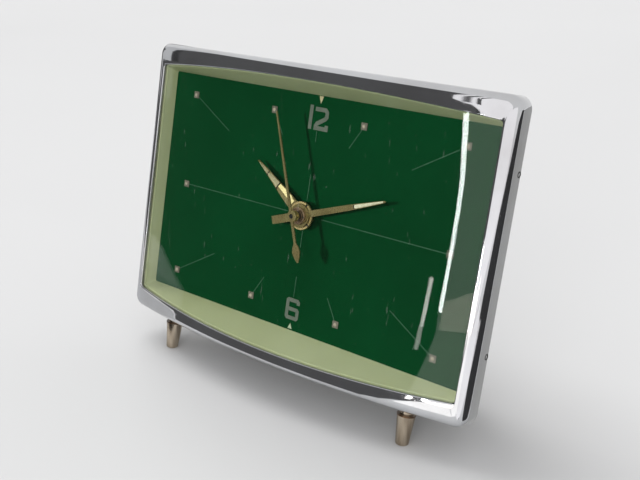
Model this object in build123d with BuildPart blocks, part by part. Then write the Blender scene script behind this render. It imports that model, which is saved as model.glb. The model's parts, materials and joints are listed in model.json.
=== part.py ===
import math
import os

from build123d import *

# Desk clock: a leaning rectangular case on three peg feet, with a spring-driven
# centre-seconds movement. Lengths are in millimetres and angles in degrees.
# Depths are measured from the front of the dial, positive towards the back.

# Stance
lean = 12.6

# Rim
rim_width = 142.4
rim_height = 96.0
rim_side_front = 4.7
rim_bulge = 9.3
rim_side_back = 2.8
rim_corner_radius = 4.0
rim_edge_radius = 2.5
rim_wall = 2.0
rim_lip = 1.6

# Window through rim and insert: the borders around it at the dial and at the crown of the rim
sight_side_border = 5.9
sight_top_border = 9.2
mouth_side_border = 1.6
mouth_top_border = 4.5
sight_width = rim_width - 2 * sight_side_border
sight_height = rim_height - 2 * sight_top_border
mouth_width = rim_width - 2 * mouth_side_border
mouth_height = rim_height - 2 * mouth_top_border

# Lens, insert and dial
lens_thickness = 1.5
dial_thickness = 0.8
dial_hole_radius = 3.4

# Back cover
cover_sheet = 1.0
cover_corner_radius = 1.2
cover_skirt_reach = 2.0
cover_side_room = 8.7
cover_top_room = 6.0
cover_back_corner_radius = 14.0
cover_edge_radius = 3.0
cover_back_room = 4.0
cover_screw_radius = 0.8
cover_screw_rise = 26.5
cover_screw_depth = 1.7

# Feet
foot_end_inset = 20.5
foot_spread = rim_width - 2 * foot_end_inset
foot_forward = 2.5
foot_length = 11.9
foot_top_radius = 2.6
foot_tip_radius = 1.8
foot_collar_length = 1.3
foot_collar_radius = 2.9
foot_tip_round = 0.9
foot_stud_radius = 1.3
rear_foot_depth = 27.0
sole_cut = 0.4

# Fits and gaps
overrun = 2.0
case_fit = 0.15
seat_gap = 0.05
push_fit = 0.02
running_fit = 0.05
end_shake = 0.15
motion_gap = 0.4
wheel_gap = 0.8
plate_room = 0.9
dial_room = 0.6

# Plates, pillars and posts
plate_thickness = 1.5
plate_width = 90.0
plate_height = 60.0
plate_corner_radius = 5.0
cover_back_width = plate_width + 2 * cover_side_room
cover_back_height = plate_height + 2 * cover_top_room
pillar_spread_x = 76.0
pillar_spread_y = 50.0
pillar_radius = 2.5
pillar_tenon_radius = 1.5
pillar_nut_radius = 3.2
pillar_nut_thickness = 2.0
dial_post_radius = 2.0

# Wheels: sheet, hub, spokes and rim
wheel_sheet = 1.0
great_sheet = 1.6
ratchet_sheet = 1.6
wheel_spokes = 4
wheel_rim_modules_share = 3.2
spoke_width = 1.5
wheel_hub_wall = 1.4

# Teeth, in shares of the module and of the tooth pitch
wheel_addendum_share = 0.95
wheel_dedendum_share = 1.25
wheel_root_share = 0.50
wheel_tip_share = 0.16
leaf_addendum_share = 0.75
leaf_dedendum_share = 1.25
leaf_root_share = 0.38
leaf_tip_share = 0.22

# Going train
great_teeth = 72
great_module = 0.60
centre_leaves = 10
centre_teeth = 64
centre_module = 0.36
third_leaves = 8
third_teeth = 60
fourth_leaves = 8
fourth_teeth = 64
fourth_module = 0.355
escape_leaves = 8
great_angle = 180.0
third_angle = 60.0
escape_angle = -20.0
centre_tube_radius = 1.5
seconds_arbor_radius = 0.75
third_arbor_radius = 0.8
escape_arbor_radius = 0.6
pivot_radius = 0.45

# Motion work and hand setting
motion_module = 0.70
cannon_leaves = 10
minute_teeth = 30
minute_leaves = 8
hour_teeth = 32
set_angle = -80.0
cannon_pipe_radius = 2.1
hour_pipe_radius = 2.8
set_arbor_radius = 1.0
set_knob_radius = 5.0
set_knob_length = 6.5
set_knob_flutes = 16
set_knob_flute_radius = 0.6
outside_gap = 1.2

# Hands
hour_hand_height = 1.4
minute_hand_height = 2.7
second_hand_height = 6.6
hand_sheet = 0.4
hour_hand_angle = 304.5
minute_hand_angle = 70.9
second_hand_angle = 340.0
hour_hand_length = 25.5
hour_hand_width = 4.2
hour_hub_radius = 4.6
minute_hand_length = 34.0
minute_hand_width = 2.1
minute_hub_radius = 3.8
minute_tail_length = 11.5
minute_tail_width = 2.7
second_hand_length = 34.0
second_hand_width = 1.0
second_tail_length = 15.0
second_leaf_width = 3.2
second_hub_radius = 1.6
second_hub_length = 2.0
hand_nut_radius = 2.8
hand_nut_length = 0.9

# Winding work
winding_arbor_radius = 2.5
winding_pivot_radius = 1.5
spring_core_radius = 4.0
spring_eye_gap = 0.3
mainspring_width = 7.0
mainspring_sheet = 0.6
mainspring_pitch = 1.6
mainspring_turns = 7
spring_post_radius = 1.2
ratchet_teeth = 20
ratchet_tip_radius = 5.6
ratchet_root_radius = 4.6
ratchet_tip_share = 0.10
ratchet_lean_share = 0.80
click_pivot_distance = 9.3
click_pivot_radius = 0.7
click_boss_radius = 1.5
click_nose_radius = 0.5
click_clearance = 0.15
click_angle = 90.0
click_lead_angle = 42.0
click_spring_sheet = 0.5
click_spring_lag_angle = 12.0
click_spring_span_angle = 50.0
key_hub_radius = 3.4
key_hub_length = 10.0
key_wing_radius = 5.6
key_wing_spread = 15.0
key_wing_thickness = 2.2
key_wing_hole_radius = 2.2

# Escapement and balance
escape_teeth = 15
escape_tip_radius = 6.5
escape_root_radius = 4.9
escape_tip_share = 0.10
escape_lean_share = 0.55
pallet_pin_radius = 0.3
pallet_clearance = 0.45
pallet_half_span_angle = 42.0
pallet_line_angle = -10.0
pallet_arm_width = 1.6
pallet_boss_radius = 1.6
pallet_sheet = 1.0
pallet_arbor_radius = 0.7
fork_width = 3.0
fork_slot_width = 0.9
fork_slot_depth = 1.2
balance_distance = 11.0
balance_rim_radius = 9.0
balance_rim_width = 1.3
balance_sheet = 2.0
balance_staff_radius = 0.8
balance_spoke_width = 1.3
balance_hub_radius = 2.0
roller_radius = 2.7
roller_sheet = 0.9
impulse_pin_radius = 0.3
impulse_pin_distance = 2.1
bearing_radius = 1.6
bearing_stand = 1.0
balance_pivot_radius = 0.35
balance_pivot_length = 0.8
hairspring_inner_radius = 1.2
hairspring_sheet = 0.2
hairspring_pitch = 0.9
hairspring_turns = 5
hairspring_width = 0.8
hairspring_stud_radius = 0.6
regulator_sheet = 0.8
regulator_boss_radius = 3.0
regulator_arm_width = 2.0
regulator_reach = 12.0
regulator_angle = 35.0
regulator_swing = 20.0
regulator_tab_radius = 0.8
regulator_tab_stand = 1.2
curb_pin_radius = 0.4
slot_gap = 0.4

# Planes: the dial's front leans back, and the origin lies on the floor
lean_sine = math.sin(math.radians(lean))
lean_cosine = math.cos(math.radians(lean))
foot_end = rim_height / 2 + foot_length
dial_height = foot_end * lean_cosine - foot_forward * lean_sine - sole_cut

# Depths of the pieces behind the dial, stacked from the front
hour_wheel_front = dial_thickness + dial_room
hour_wheel_back = hour_wheel_front + wheel_sheet
cannon_front = hour_wheel_back + motion_gap
minute_wheel_front = cannon_front + motion_gap
minute_wheel_back = minute_wheel_front + wheel_sheet
cannon_back = minute_wheel_back + motion_gap
front_plate_front = cannon_back + motion_gap
front_plate_back = front_plate_front + plate_thickness
centre_wheel_front = front_plate_back + plate_room
centre_wheel_back = centre_wheel_front + wheel_sheet
ratchet_front = centre_wheel_back + wheel_gap
ratchet_back = ratchet_front + ratchet_sheet
great_front = ratchet_back + motion_gap
great_back = great_front + great_sheet
centre_pinion_back = great_back + wheel_gap
fourth_pinion_front = centre_pinion_back + wheel_gap
third_wheel_front = fourth_pinion_front + motion_gap
third_wheel_back = third_wheel_front + wheel_sheet
fourth_pinion_back = third_wheel_back + motion_gap
mainspring_front = great_back + wheel_gap
mainspring_back = mainspring_front + mainspring_width
fourth_wheel_front = mainspring_back + wheel_gap
fourth_wheel_back = fourth_wheel_front + wheel_sheet
back_plate_front = fourth_wheel_back + plate_room
back_plate_back = back_plate_front + plate_thickness
nut_back = back_plate_back + pillar_nut_thickness
cover_inner_back = nut_back + cover_back_room
cover_back = cover_inner_back + cover_sheet
outside_front = cover_back + outside_gap
set_knob_back = outside_front + set_knob_length
key_back = outside_front + key_hub_length

# The floor origin lies midway between the rim's crown and the key's end
front_reach = (
    (rim_height / 2 - rim_edge_radius) * lean_sine
    + (rim_side_front + rim_bulge - rim_edge_radius) * lean_cosine
    + rim_edge_radius
)
back_reach = key_back * lean_cosine + key_hub_radius * lean_sine
dial_face = Plane(
    origin=(0, (front_reach - back_reach) / 2, dial_height),
    x_dir=(1, 0, 0),
    z_dir=(0, -lean_cosine, lean_sine),
)
plan_face = Plane(origin=dial_face.origin, x_dir=dial_face.x_dir, z_dir=-dial_face.y_dir)
front_axis = Axis(dial_face.origin, dial_face.z_dir)
side_plane = Plane(origin=dial_face.origin, x_dir=dial_face.y_dir, z_dir=dial_face.x_dir)

# Axes of the movement on the dial's plane
centre_axis = (0, 0)


def polar(axis, distance, angle):
    turn = math.radians(angle)
    return (axis[0] + distance * math.cos(turn), axis[1] + distance * math.sin(turn))


great_distance = great_module * (great_teeth + centre_leaves) / 2
third_distance = centre_module * (centre_teeth + third_leaves) / 2
third_module = 2 * third_distance / (third_teeth + fourth_leaves)
escape_distance = fourth_module * (fourth_teeth + escape_leaves) / 2
set_distance = motion_module * (cannon_leaves + minute_teeth) / 2
pallet_circle = escape_tip_radius + pallet_clearance + pallet_pin_radius
pallet_distance = pallet_circle / math.cos(math.radians(pallet_half_span_angle))
great_axis = polar(centre_axis, great_distance, great_angle)
third_axis = polar(centre_axis, third_distance, third_angle)
escape_axis = polar(centre_axis, escape_distance, escape_angle)
set_axis = polar(centre_axis, set_distance, set_angle)
pallet_axis = polar(escape_axis, pallet_distance, pallet_line_angle)
balance_axis = polar(pallet_axis, balance_distance, pallet_line_angle)


def at(axis, depth):
    """Plane square to the hand axis, at a point of the dial and a depth behind it."""
    origin = dial_face.from_local_coords((axis[0], axis[1], -depth))
    return Plane(origin=origin, x_dir=dial_face.x_dir, z_dir=dial_face.z_dir)


def meshed_turn(axis, teeth, turn, mate_axis, mate_teeth):
    """Turn of a mating gear that puts its gap opposite the first gear's tooth."""
    line = math.degrees(math.atan2(mate_axis[1] - axis[1], mate_axis[0] - axis[0]))
    pitch = 360 / teeth
    mate_pitch = 360 / mate_teeth
    phase = ((line - turn) / pitch) % 1
    return line + 180 - mate_pitch * (0.5 - phase)


def toothed(teeth, module, turn, leaf=False):
    """Face of a straight-flanked wheel, or of a pinion with thinner leaves."""
    addendum = leaf_addendum_share if leaf else wheel_addendum_share
    dedendum = leaf_dedendum_share if leaf else wheel_dedendum_share
    root_share = leaf_root_share if leaf else wheel_root_share
    tip_share = leaf_tip_share if leaf else wheel_tip_share
    pitch = 360 / teeth
    root = module * (teeth / 2 - dedendum)
    tip = module * (teeth / 2 + addendum)
    flank = (
        (root, -root_share / 2),
        (tip, -tip_share / 2),
        (tip, tip_share / 2),
        (root, root_share / 2),
    )
    points = [
        polar(centre_axis, radius, turn + pitch * (tooth + share))
        for tooth in range(teeth)
        for radius, share in flank
    ]
    with BuildSketch() as outline:
        with BuildLine():
            Polyline(*points, close=True)
        make_face()
    return outline.sketch


def saw_toothed(teeth, tip, root, tip_share, lean_share):
    """Face of a wheel whose teeth lean one way, as on a ratchet or an escape wheel."""
    pitch = 360 / teeth
    drop_share = lean_share + tip_share
    tooth_shape = ((root, 0), (tip, lean_share), (tip, drop_share), (root, drop_share))
    points = [
        polar(centre_axis, radius, pitch * (tooth + share))
        for tooth in range(teeth)
        for radius, share in tooth_shape
    ]
    with BuildSketch() as outline:
        with BuildLine():
            Polyline(*points, close=True)
        make_face()
    return outline.sketch


def crossed(outline, inner, hub):
    """Cut a wheel's face open between a rim and a hub, leaving straight spokes."""
    with BuildSketch() as wheel:
        add(outline)
        Circle(inner, mode=Mode.SUBTRACT)
        Circle(hub)
        with PolarLocations(0, wheel_spokes):
            Rectangle(inner + spoke_width / 2, spoke_width, align=(Align.MIN, Align.CENTER))
    return wheel.sketch


def crossed_wheel(teeth, module, turn, bore):
    """Face of a spoked train wheel."""
    inner = module * (teeth / 2 - wheel_rim_modules_share)
    return crossed(toothed(teeth, module, turn), inner, bore + wheel_hub_wall)


def bar(start, end, width):
    """Round-ended bar between two points."""
    run = (end[0] - start[0], end[1] - start[1])
    middle = (start[0] + run[0] / 2, start[1] + run[1] / 2)
    with BuildSketch() as strip:
        with Locations(middle):
            SlotCenterToCenter(math.hypot(*run), width, rotation=math.degrees(math.atan2(run[1], run[0])))
    return strip.sketch


def arc_band(inner, outer, start, span):
    """Part of a ring between two angles."""
    with BuildSketch() as band:
        with BuildLine():
            far_arc = CenterArc(centre_axis, outer, start, span)
            near_arc = CenterArc(centre_axis, inner, start, span)
            Line(far_arc @ 0, near_arc @ 0)
            Line(far_arc @ 1, near_arc @ 1)
        make_face()
    return band.sketch


def spiral_band(inner, pitch, turns, sheet):
    """Flat spiral strip made of half circles that grow by half a pitch each."""
    with BuildSketch() as strip:
        with BuildLine():
            for side in (0, sheet):
                for half in range(2 * turns):
                    sign = 1 if half % 2 == 0 else -1
                    near = sign * (inner + side + pitch * half / 2)
                    far = -sign * (inner + side + pitch * (half + 1) / 2)
                    crest = (abs(near) + abs(far)) / 2
                    ThreePointArc((near, 0), ((near + far) / 2, sign * crest), (far, 0))
            Line((inner, 0), (inner + sheet, 0))
            Line((inner + pitch * turns, 0), (inner + pitch * turns + sheet, 0))
        make_face()
    return strip.sketch


def lance(length, width, stations):
    """Hand outline along +Y, from shares of its length and of its width."""
    right = [(width * half / 2, length * along) for along, half in stations]
    left = [(-across, along) for across, along in reversed(right)]
    with BuildSketch() as blade:
        with BuildLine():
            Polyline(*right, *left, close=True)
        make_face()
    return blade.sketch


def crown(half_width, inset):
    """Height of the rim's bulged front, moved in by an inset, at a distance from its middle."""
    radius = ((rim_width / 2) ** 2 + rim_bulge**2) / (2 * rim_bulge)
    middle = rim_side_front + rim_bulge - radius
    return middle + math.sqrt((radius - inset) ** 2 - half_width**2)


def bulged(half_width, inset, back):
    """Plan of a block with the bulged front and a flat back."""
    with BuildSketch() as plan:
        with BuildLine():
            ThreePointArc(
                (-half_width, crown(half_width, inset)),
                (0, crown(0, inset)),
                (half_width, crown(half_width, inset)),
            )
            Polyline(
                (half_width, crown(half_width, inset)),
                (half_width, -back),
                (-half_width, -back),
                (-half_width, crown(half_width, inset)),
            )
        make_face()
    return plan.sketch


def sight_size(height):
    """Width and height of the drafted window at a height in front of the dial."""
    rise = height / (rim_side_front + rim_bulge)
    return (
        sight_width + (mouth_width - sight_width) * rise,
        sight_height + (mouth_height - sight_height) * rise,
    )


def foot_plane(root, axis):
    """Plane through a foot's seat, with +Y along the foot."""
    return Plane(origin=root, x_dir=dial_face.x_dir, z_dir=dial_face.x_dir.cross(axis))


# Case
inner_half_width = rim_width / 2 - rim_wall
inner_half_height = rim_height / 2 - rim_wall
fitted_half_width = inner_half_width - case_fit
fitted_half_height = inner_half_height - case_fit
lens_inset = rim_lip + seat_gap
insert_inset = lens_inset + lens_thickness + seat_gap
window_reach = rim_side_front + rim_bulge + overrun
front_foot_places = {
    side: dial_face.from_local_coords((across * foot_spread / 2, -rim_height / 2, foot_forward))
    for side, across in (("left", -1), ("right", 1))
}
screw_places = [(rise, -cover_screw_depth) for rise in (-cover_screw_rise, cover_screw_rise)]

with BuildPart() as sight_window:
    for height in (0, window_reach):
        with BuildSketch(dial_face.offset(height)):
            Rectangle(*sight_size(height))
    loft()

with BuildPart() as screw_bores:
    with BuildSketch(side_plane):
        with Locations(*screw_places):
            Circle(cover_screw_radius + push_fit)
    extrude(amount=rim_width, both=True)

with BuildPart() as rim:
    with BuildSketch(plan_face):
        add(bulged(rim_width / 2, 0, rim_side_back))
    extrude(amount=rim_height / 2, both=True)
    fillet(rim.edges().filter_by(front_axis), rim_corner_radius)
    front_skin = rim.faces().filter_by(GeomType.CYLINDER).sort_by(SortBy.AREA)[-1]
    fillet(front_skin.edges(), rim_edge_radius)
    with BuildSketch(plan_face):
        add(bulged(inner_half_width, rim_lip, rim_side_back + overrun))
    extrude(amount=inner_half_height, both=True, mode=Mode.SUBTRACT)
    add(sight_window.part, mode=Mode.SUBTRACT)
    for place in front_foot_places.values():
        with BuildSketch(foot_plane(place, -dial_face.y_dir).rotated((90, 0, 0))):
            Circle(foot_stud_radius + push_fit)
        extrude(amount=rim_wall + case_fit, both=True, mode=Mode.SUBTRACT)
    add(screw_bores.part, mode=Mode.SUBTRACT)

with BuildPart() as lens:
    with BuildSketch(plan_face):
        add(bulged(fitted_half_width, lens_inset, 0))
        add(bulged(fitted_half_width, lens_inset + lens_thickness, 0), mode=Mode.SUBTRACT)
    extrude(amount=fitted_half_height, both=True)

with BuildPart() as dial_insert:
    with BuildSketch(plan_face):
        add(bulged(fitted_half_width, insert_inset, 0))
    extrude(amount=fitted_half_height, both=True)
    add(sight_window.part, mode=Mode.SUBTRACT)

with BuildPart() as dial:
    with BuildSketch(dial_face):
        Rectangle(2 * fitted_half_width, 2 * fitted_half_height)
        Circle(dial_hole_radius, mode=Mode.SUBTRACT)
    extrude(amount=-dial_thickness)

# The cover is a drafted pan: a straight skirt inside the rim, then walls that draw in to the back
skirt_back = rim_side_back + cover_skirt_reach
regulator_spot = polar(balance_axis, regulator_reach, regulator_angle)
slot_half_width = regulator_tab_radius + slot_gap
wall_slope = math.atan2(fitted_half_height - cover_back_height / 2, cover_back - skirt_back)
rear_foot_drop = fitted_half_height - (rear_foot_depth - skirt_back) * math.tan(wall_slope)
rear_foot_axis = dial_face.y_dir * -math.cos(wall_slope) + dial_face.z_dir * -math.sin(wall_slope)
rear_foot_root = dial_face.from_local_coords((0, -rear_foot_drop, -rear_foot_depth))
rear_foot_length = (rear_foot_root.Z + sole_cut) / -rear_foot_axis.Z


def pan(inset, back):
    """Solid pan drawn in by an inset, from the back of the dial to a depth."""
    skirt = (2 * (fitted_half_width - inset), 2 * (fitted_half_height - inset), cover_corner_radius)
    with BuildPart() as form:
        with BuildSketch(dial_face.offset(-dial_thickness)):
            RectangleRounded(*skirt)
        extrude(amount=dial_thickness - skirt_back)
        with BuildSketch(dial_face.offset(-skirt_back)):
            RectangleRounded(*skirt)
        with BuildSketch(dial_face.offset(-back)):
            RectangleRounded(
                cover_back_width - 2 * inset, cover_back_height - 2 * inset, cover_back_corner_radius - inset
            )
        loft(ruled=True)
    return form.part


slot_end_angle = math.degrees(slot_half_width / regulator_reach)
with BuildPart() as back_cover:
    add(pan(0, cover_back))
    fillet(back_cover.faces().sort_by(front_axis)[0].edges(), cover_edge_radius)
    add(pan(cover_sheet, cover_inner_back), mode=Mode.SUBTRACT)
    with BuildSketch(dial_face.offset(-cover_inner_back + overrun)):
        with Locations(great_axis):
            Circle(winding_arbor_radius + slot_gap)
        with Locations(set_axis):
            Circle(set_arbor_radius + slot_gap)
        with Locations(balance_axis):
            add(
                arc_band(
                    regulator_reach - slot_half_width,
                    regulator_reach + slot_half_width,
                    regulator_angle - regulator_swing - slot_end_angle,
                    2 * (regulator_swing + slot_end_angle),
                )
            )
    extrude(amount=-cover_sheet - 2 * overrun, mode=Mode.SUBTRACT)
    with BuildSketch(foot_plane(rear_foot_root, rear_foot_axis).rotated((90, 0, 0))):
        Circle(foot_stud_radius + push_fit)
    extrude(amount=overrun, both=True, mode=Mode.SUBTRACT)
    add(screw_bores.part, mode=Mode.SUBTRACT)

with BuildPart() as cover_screws:
    for side in (-1, 1):
        with BuildSketch(side_plane.offset(side * (fitted_half_width - cover_sheet))):
            with Locations(*screw_places):
                Circle(cover_screw_radius)
        extrude(amount=side * (rim_wall + case_fit + cover_sheet - seat_gap))

# Feet: a stud, a collar and a taper to a round tip, cut flat by the floor


def foot_profile(length, stud_length):
    """Half section of a foot along +Y, with the seat at zero and the stud below it."""
    with BuildSketch() as section:
        with BuildLine():
            Polyline(
                (0, -stud_length),
                (foot_stud_radius, -stud_length),
                (foot_stud_radius, 0),
                (foot_top_radius, 0),
                (foot_collar_radius, foot_collar_length / 2),
                (foot_top_radius, foot_collar_length),
                (foot_tip_radius, length),
                (0, length),
                close=True,
            )
        make_face()
        fillet(section.vertices().group_by(Axis.Y)[-1].sort_by(Axis.X)[-1], foot_tip_round)
    return section.sketch


def turned_foot(root, axis, length, stud_length):
    """Foot on a seat, turned about an axis that points away from the case."""
    with BuildPart() as form:
        with BuildSketch(foot_plane(root, axis)):
            add(foot_profile(length, stud_length))
        revolve(axis=Axis(root, axis))
        split(bisect_by=Plane.XY, keep=Keep.TOP)
    return form.part


front_feet = {}
for side, place in front_foot_places.items():
    with BuildPart() as front_foot:
        add(turned_foot(place, -dial_face.y_dir, foot_length, rim_wall - seat_gap))
    front_feet[side] = front_foot

with BuildPart() as rear_foot:
    add(turned_foot(rear_foot_root, rear_foot_axis, rear_foot_length, cover_sheet))

# Plates, pillars and posts
pillar_places = [
    (side * pillar_spread_x / 2, rise * pillar_spread_y / 2) for side in (-1, 1) for rise in (-1, 1)
]
spring_post_distance = (
    spring_core_radius
    + spring_eye_gap
    + mainspring_pitch * mainspring_turns
    + mainspring_sheet
    + seat_gap
    + spring_post_radius
)
spring_post_axis = polar(great_axis, spring_post_distance, 180)
stud_distance = (
    hairspring_inner_radius
    + hairspring_pitch * hairspring_turns
    + hairspring_sheet
    + slot_gap
    + hairspring_stud_radius
)
stud_axis = polar(balance_axis, stud_distance, 0)
curb_distance = stud_distance + hairspring_stud_radius + curb_pin_radius
front_pivots = {
    centre_axis: centre_tube_radius,
    great_axis: winding_pivot_radius,
    third_axis: pivot_radius,
    escape_axis: pivot_radius,
    pallet_axis: pivot_radius,
    set_axis: set_arbor_radius,
}
back_pivots = {
    centre_axis: pivot_radius,
    great_axis: winding_arbor_radius,
    third_axis: pivot_radius,
    escape_axis: pivot_radius,
    pallet_axis: pivot_radius,
    set_axis: set_arbor_radius,
}

with BuildPart() as front_plate:
    with BuildSketch(dial_face.offset(-front_plate_front)):
        RectangleRounded(plate_width, plate_height, plate_corner_radius)
        for axis, radius in front_pivots.items():
            with Locations(axis):
                Circle(radius + running_fit, mode=Mode.SUBTRACT)
        with Locations(*pillar_places):
            Circle(pillar_tenon_radius + push_fit, mode=Mode.SUBTRACT)
        with Locations(balance_axis):
            Circle(bearing_radius + push_fit, mode=Mode.SUBTRACT)
    extrude(amount=-plate_thickness)

with BuildPart() as back_plate:
    with BuildSketch(dial_face.offset(-back_plate_front)):
        RectangleRounded(plate_width, plate_height, plate_corner_radius)
        for axis, radius in back_pivots.items():
            with Locations(axis):
                Circle(radius + running_fit, mode=Mode.SUBTRACT)
        with Locations(*pillar_places):
            Circle(pillar_tenon_radius + push_fit, mode=Mode.SUBTRACT)
        with Locations(spring_post_axis):
            Circle(spring_post_radius + push_fit, mode=Mode.SUBTRACT)
        with Locations(balance_axis):
            Circle(bearing_radius + push_fit, mode=Mode.SUBTRACT)
            add(
                arc_band(
                    curb_distance - curb_pin_radius - slot_gap,
                    curb_distance + curb_pin_radius + slot_gap,
                    regulator_angle - 2 * regulator_swing,
                    4 * regulator_swing,
                ),
                mode=Mode.SUBTRACT,
            )
    extrude(amount=-plate_thickness)

with BuildPart() as pillars:
    for front, back, radius in (
        (front_plate_front, front_plate_back, pillar_tenon_radius),
        (front_plate_back, back_plate_front, pillar_radius),
        (back_plate_front, nut_back, pillar_tenon_radius),
    ):
        with BuildSketch(dial_face.offset(-front)):
            with Locations(*pillar_places):
                Circle(radius)
        extrude(amount=front - back)

with BuildPart() as pillar_nuts:
    with BuildSketch(dial_face.offset(-back_plate_back)):
        with Locations(*pillar_places):
            RegularPolygon(pillar_nut_radius, 6)
            Circle(pillar_tenon_radius + push_fit, mode=Mode.SUBTRACT)
    extrude(amount=-pillar_nut_thickness)

with BuildPart() as dial_posts:
    with BuildSketch(dial_face.offset(-dial_thickness)):
        with Locations(*pillar_places):
            Circle(dial_post_radius)
    extrude(amount=dial_thickness - front_plate_front)


def spanning(body_radius):
    """Steps of an arbor between the plates, with a thin pivot in each plate."""
    return (
        (front_plate_front, front_plate_back + end_shake, pivot_radius),
        (front_plate_back + end_shake, back_plate_front - end_shake, body_radius),
        (back_plate_front - end_shake, back_plate_back, pivot_radius),
    )


# Motion work
minute_wheel_turn = meshed_turn(centre_axis, cannon_leaves, 0, set_axis, minute_teeth)
hour_wheel_turn = meshed_turn(set_axis, minute_leaves, 0, centre_axis, hour_teeth)
minute_hand_front = -minute_hand_height - hand_sheet
minute_pinion_front = hour_wheel_front - motion_gap / 2

with BuildPart() as hour_wheel:
    with BuildSketch(at(centre_axis, hour_wheel_front)):
        add(toothed(hour_teeth, motion_module, hour_wheel_turn))
    extrude(amount=-wheel_sheet)
    with BuildSketch(at(centre_axis, -hour_hand_height - hand_sheet)):
        Circle(hour_pipe_radius)
    extrude(amount=-hour_hand_height - hand_sheet - hour_wheel_back)
    with BuildSketch(at(centre_axis, -minute_hand_height)):
        Circle(cannon_pipe_radius + running_fit)
    extrude(amount=-minute_hand_height - cannon_front, mode=Mode.SUBTRACT)

with BuildPart() as cannon_pinion:
    with BuildSketch(at(centre_axis, minute_hand_front - hand_nut_length)):
        Circle(cannon_pipe_radius)
    extrude(amount=minute_hand_front - hand_nut_length - cannon_front)
    with BuildSketch(at(centre_axis, cannon_front)):
        add(toothed(cannon_leaves, motion_module, 0, leaf=True))
    extrude(amount=cannon_front - cannon_back)
    with BuildSketch(at(centre_axis, minute_hand_front - hand_nut_length - overrun)):
        Circle(centre_tube_radius + running_fit)
    extrude(amount=minute_hand_front - hand_nut_length - 2 * overrun - cannon_back, mode=Mode.SUBTRACT)

with BuildPart() as minute_wheel:
    with BuildSketch(at(set_axis, minute_wheel_front)):
        add(crossed_wheel(minute_teeth, motion_module, minute_wheel_turn, set_arbor_radius))
        Circle(set_arbor_radius + push_fit, mode=Mode.SUBTRACT)
    extrude(amount=-wheel_sheet)

with BuildPart() as set_arbor:
    with BuildSketch(at(set_axis, minute_pinion_front)):
        Circle(set_arbor_radius)
    extrude(amount=minute_pinion_front - set_knob_back + wheel_sheet)
    with BuildSketch(at(set_axis, minute_pinion_front)):
        add(toothed(minute_leaves, motion_module, 0, leaf=True))
    extrude(amount=minute_pinion_front - minute_wheel_front)

with BuildPart() as set_knob:
    with BuildSketch(at(set_axis, outside_front)):
        Circle(set_knob_radius)
        with PolarLocations(set_knob_radius, set_knob_flutes):
            Circle(set_knob_flute_radius, mode=Mode.SUBTRACT)
    extrude(amount=-set_knob_length)
    with BuildSketch(at(set_axis, outside_front)):
        Circle(set_arbor_radius + push_fit)
    extrude(amount=wheel_sheet - set_knob_length, mode=Mode.SUBTRACT)

# Hands
hour_stations_shares = ((0, 1.0), (0.25, 0.9), (0.55, 0.62), (0.95, 0.16), (1.0, 0.08))
minute_stations_shares = ((0, 1.0), (0.6, 0.85), (0.97, 0.38), (1.0, 0.2))
minute_tail_shares = ((0, 1.0), (1.0, 1.0))
second_stations_shares = ((0, 1.0), (1.0, 0.5))
second_tail_shares = ((0, 0.32), (0.58, 0.28), (0.66, 0.7), (0.76, 1.0), (0.88, 0.72), (1.0, 0.12))

with BuildPart() as hour_hand:
    with BuildSketch(at(centre_axis, -hour_hand_height - hand_sheet)):
        add(lance(hour_hand_length, hour_hand_width, hour_stations_shares), rotation=-hour_hand_angle)
        Circle(hour_hub_radius)
        Circle(hour_pipe_radius + push_fit, mode=Mode.SUBTRACT)
    extrude(amount=-hand_sheet)

with BuildPart() as minute_hand:
    with BuildSketch(at(centre_axis, minute_hand_front)):
        add(lance(minute_hand_length, minute_hand_width, minute_stations_shares), rotation=-minute_hand_angle)
        add(lance(-minute_tail_length, minute_tail_width, minute_tail_shares), rotation=-minute_hand_angle)
        Circle(minute_hub_radius)
        Circle(cannon_pipe_radius + push_fit, mode=Mode.SUBTRACT)
    extrude(amount=-hand_sheet)

with BuildPart() as hand_nut:
    with BuildSketch(at(centre_axis, minute_hand_front - hand_nut_length)):
        Circle(hand_nut_radius)
        Circle(cannon_pipe_radius + push_fit, mode=Mode.SUBTRACT)
    extrude(amount=-hand_nut_length)

with BuildPart() as second_hand:
    with BuildSketch(at(centre_axis, -second_hand_height - hand_sheet)):
        add(lance(second_hand_length, second_hand_width, second_stations_shares), rotation=-second_hand_angle)
        add(lance(-second_tail_length, second_leaf_width, second_tail_shares), rotation=-second_hand_angle)
        Circle(second_hub_radius)
        Circle(seconds_arbor_radius + push_fit, mode=Mode.SUBTRACT)
    extrude(amount=-hand_sheet)
    with BuildSketch(at(centre_axis, -second_hand_height)):
        Circle(second_hub_radius)
        Circle(seconds_arbor_radius + push_fit, mode=Mode.SUBTRACT)
    extrude(amount=hand_sheet - second_hub_length)

# Going train
centre_pinion_turn = meshed_turn(great_axis, great_teeth, 0, centre_axis, centre_leaves)
third_pinion_turn = meshed_turn(centre_axis, centre_teeth, 0, third_axis, third_leaves)
fourth_pinion_turn = meshed_turn(third_axis, third_teeth, 0, centre_axis, fourth_leaves)
escape_pinion_turn = meshed_turn(centre_axis, fourth_teeth, 0, escape_axis, escape_leaves)
third_pinion_back = centre_wheel_back + motion_gap
escape_pinion_front = fourth_wheel_front - motion_gap
escape_pinion_back = fourth_wheel_back + motion_gap

with BuildPart() as centre_arbor:
    with BuildSketch(at(centre_axis, -minute_hand_height)):
        Circle(centre_tube_radius)
    extrude(amount=-minute_hand_height - centre_pinion_back)
    with BuildSketch(at(centre_axis, centre_wheel_back)):
        add(toothed(centre_leaves, great_module, centre_pinion_turn, leaf=True))
    extrude(amount=centre_wheel_back - centre_pinion_back)
    with BuildSketch(at(centre_axis, -minute_hand_height - overrun)):
        Circle(seconds_arbor_radius + running_fit)
    extrude(amount=-minute_hand_height - centre_pinion_back - 2 * overrun, mode=Mode.SUBTRACT)

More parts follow.
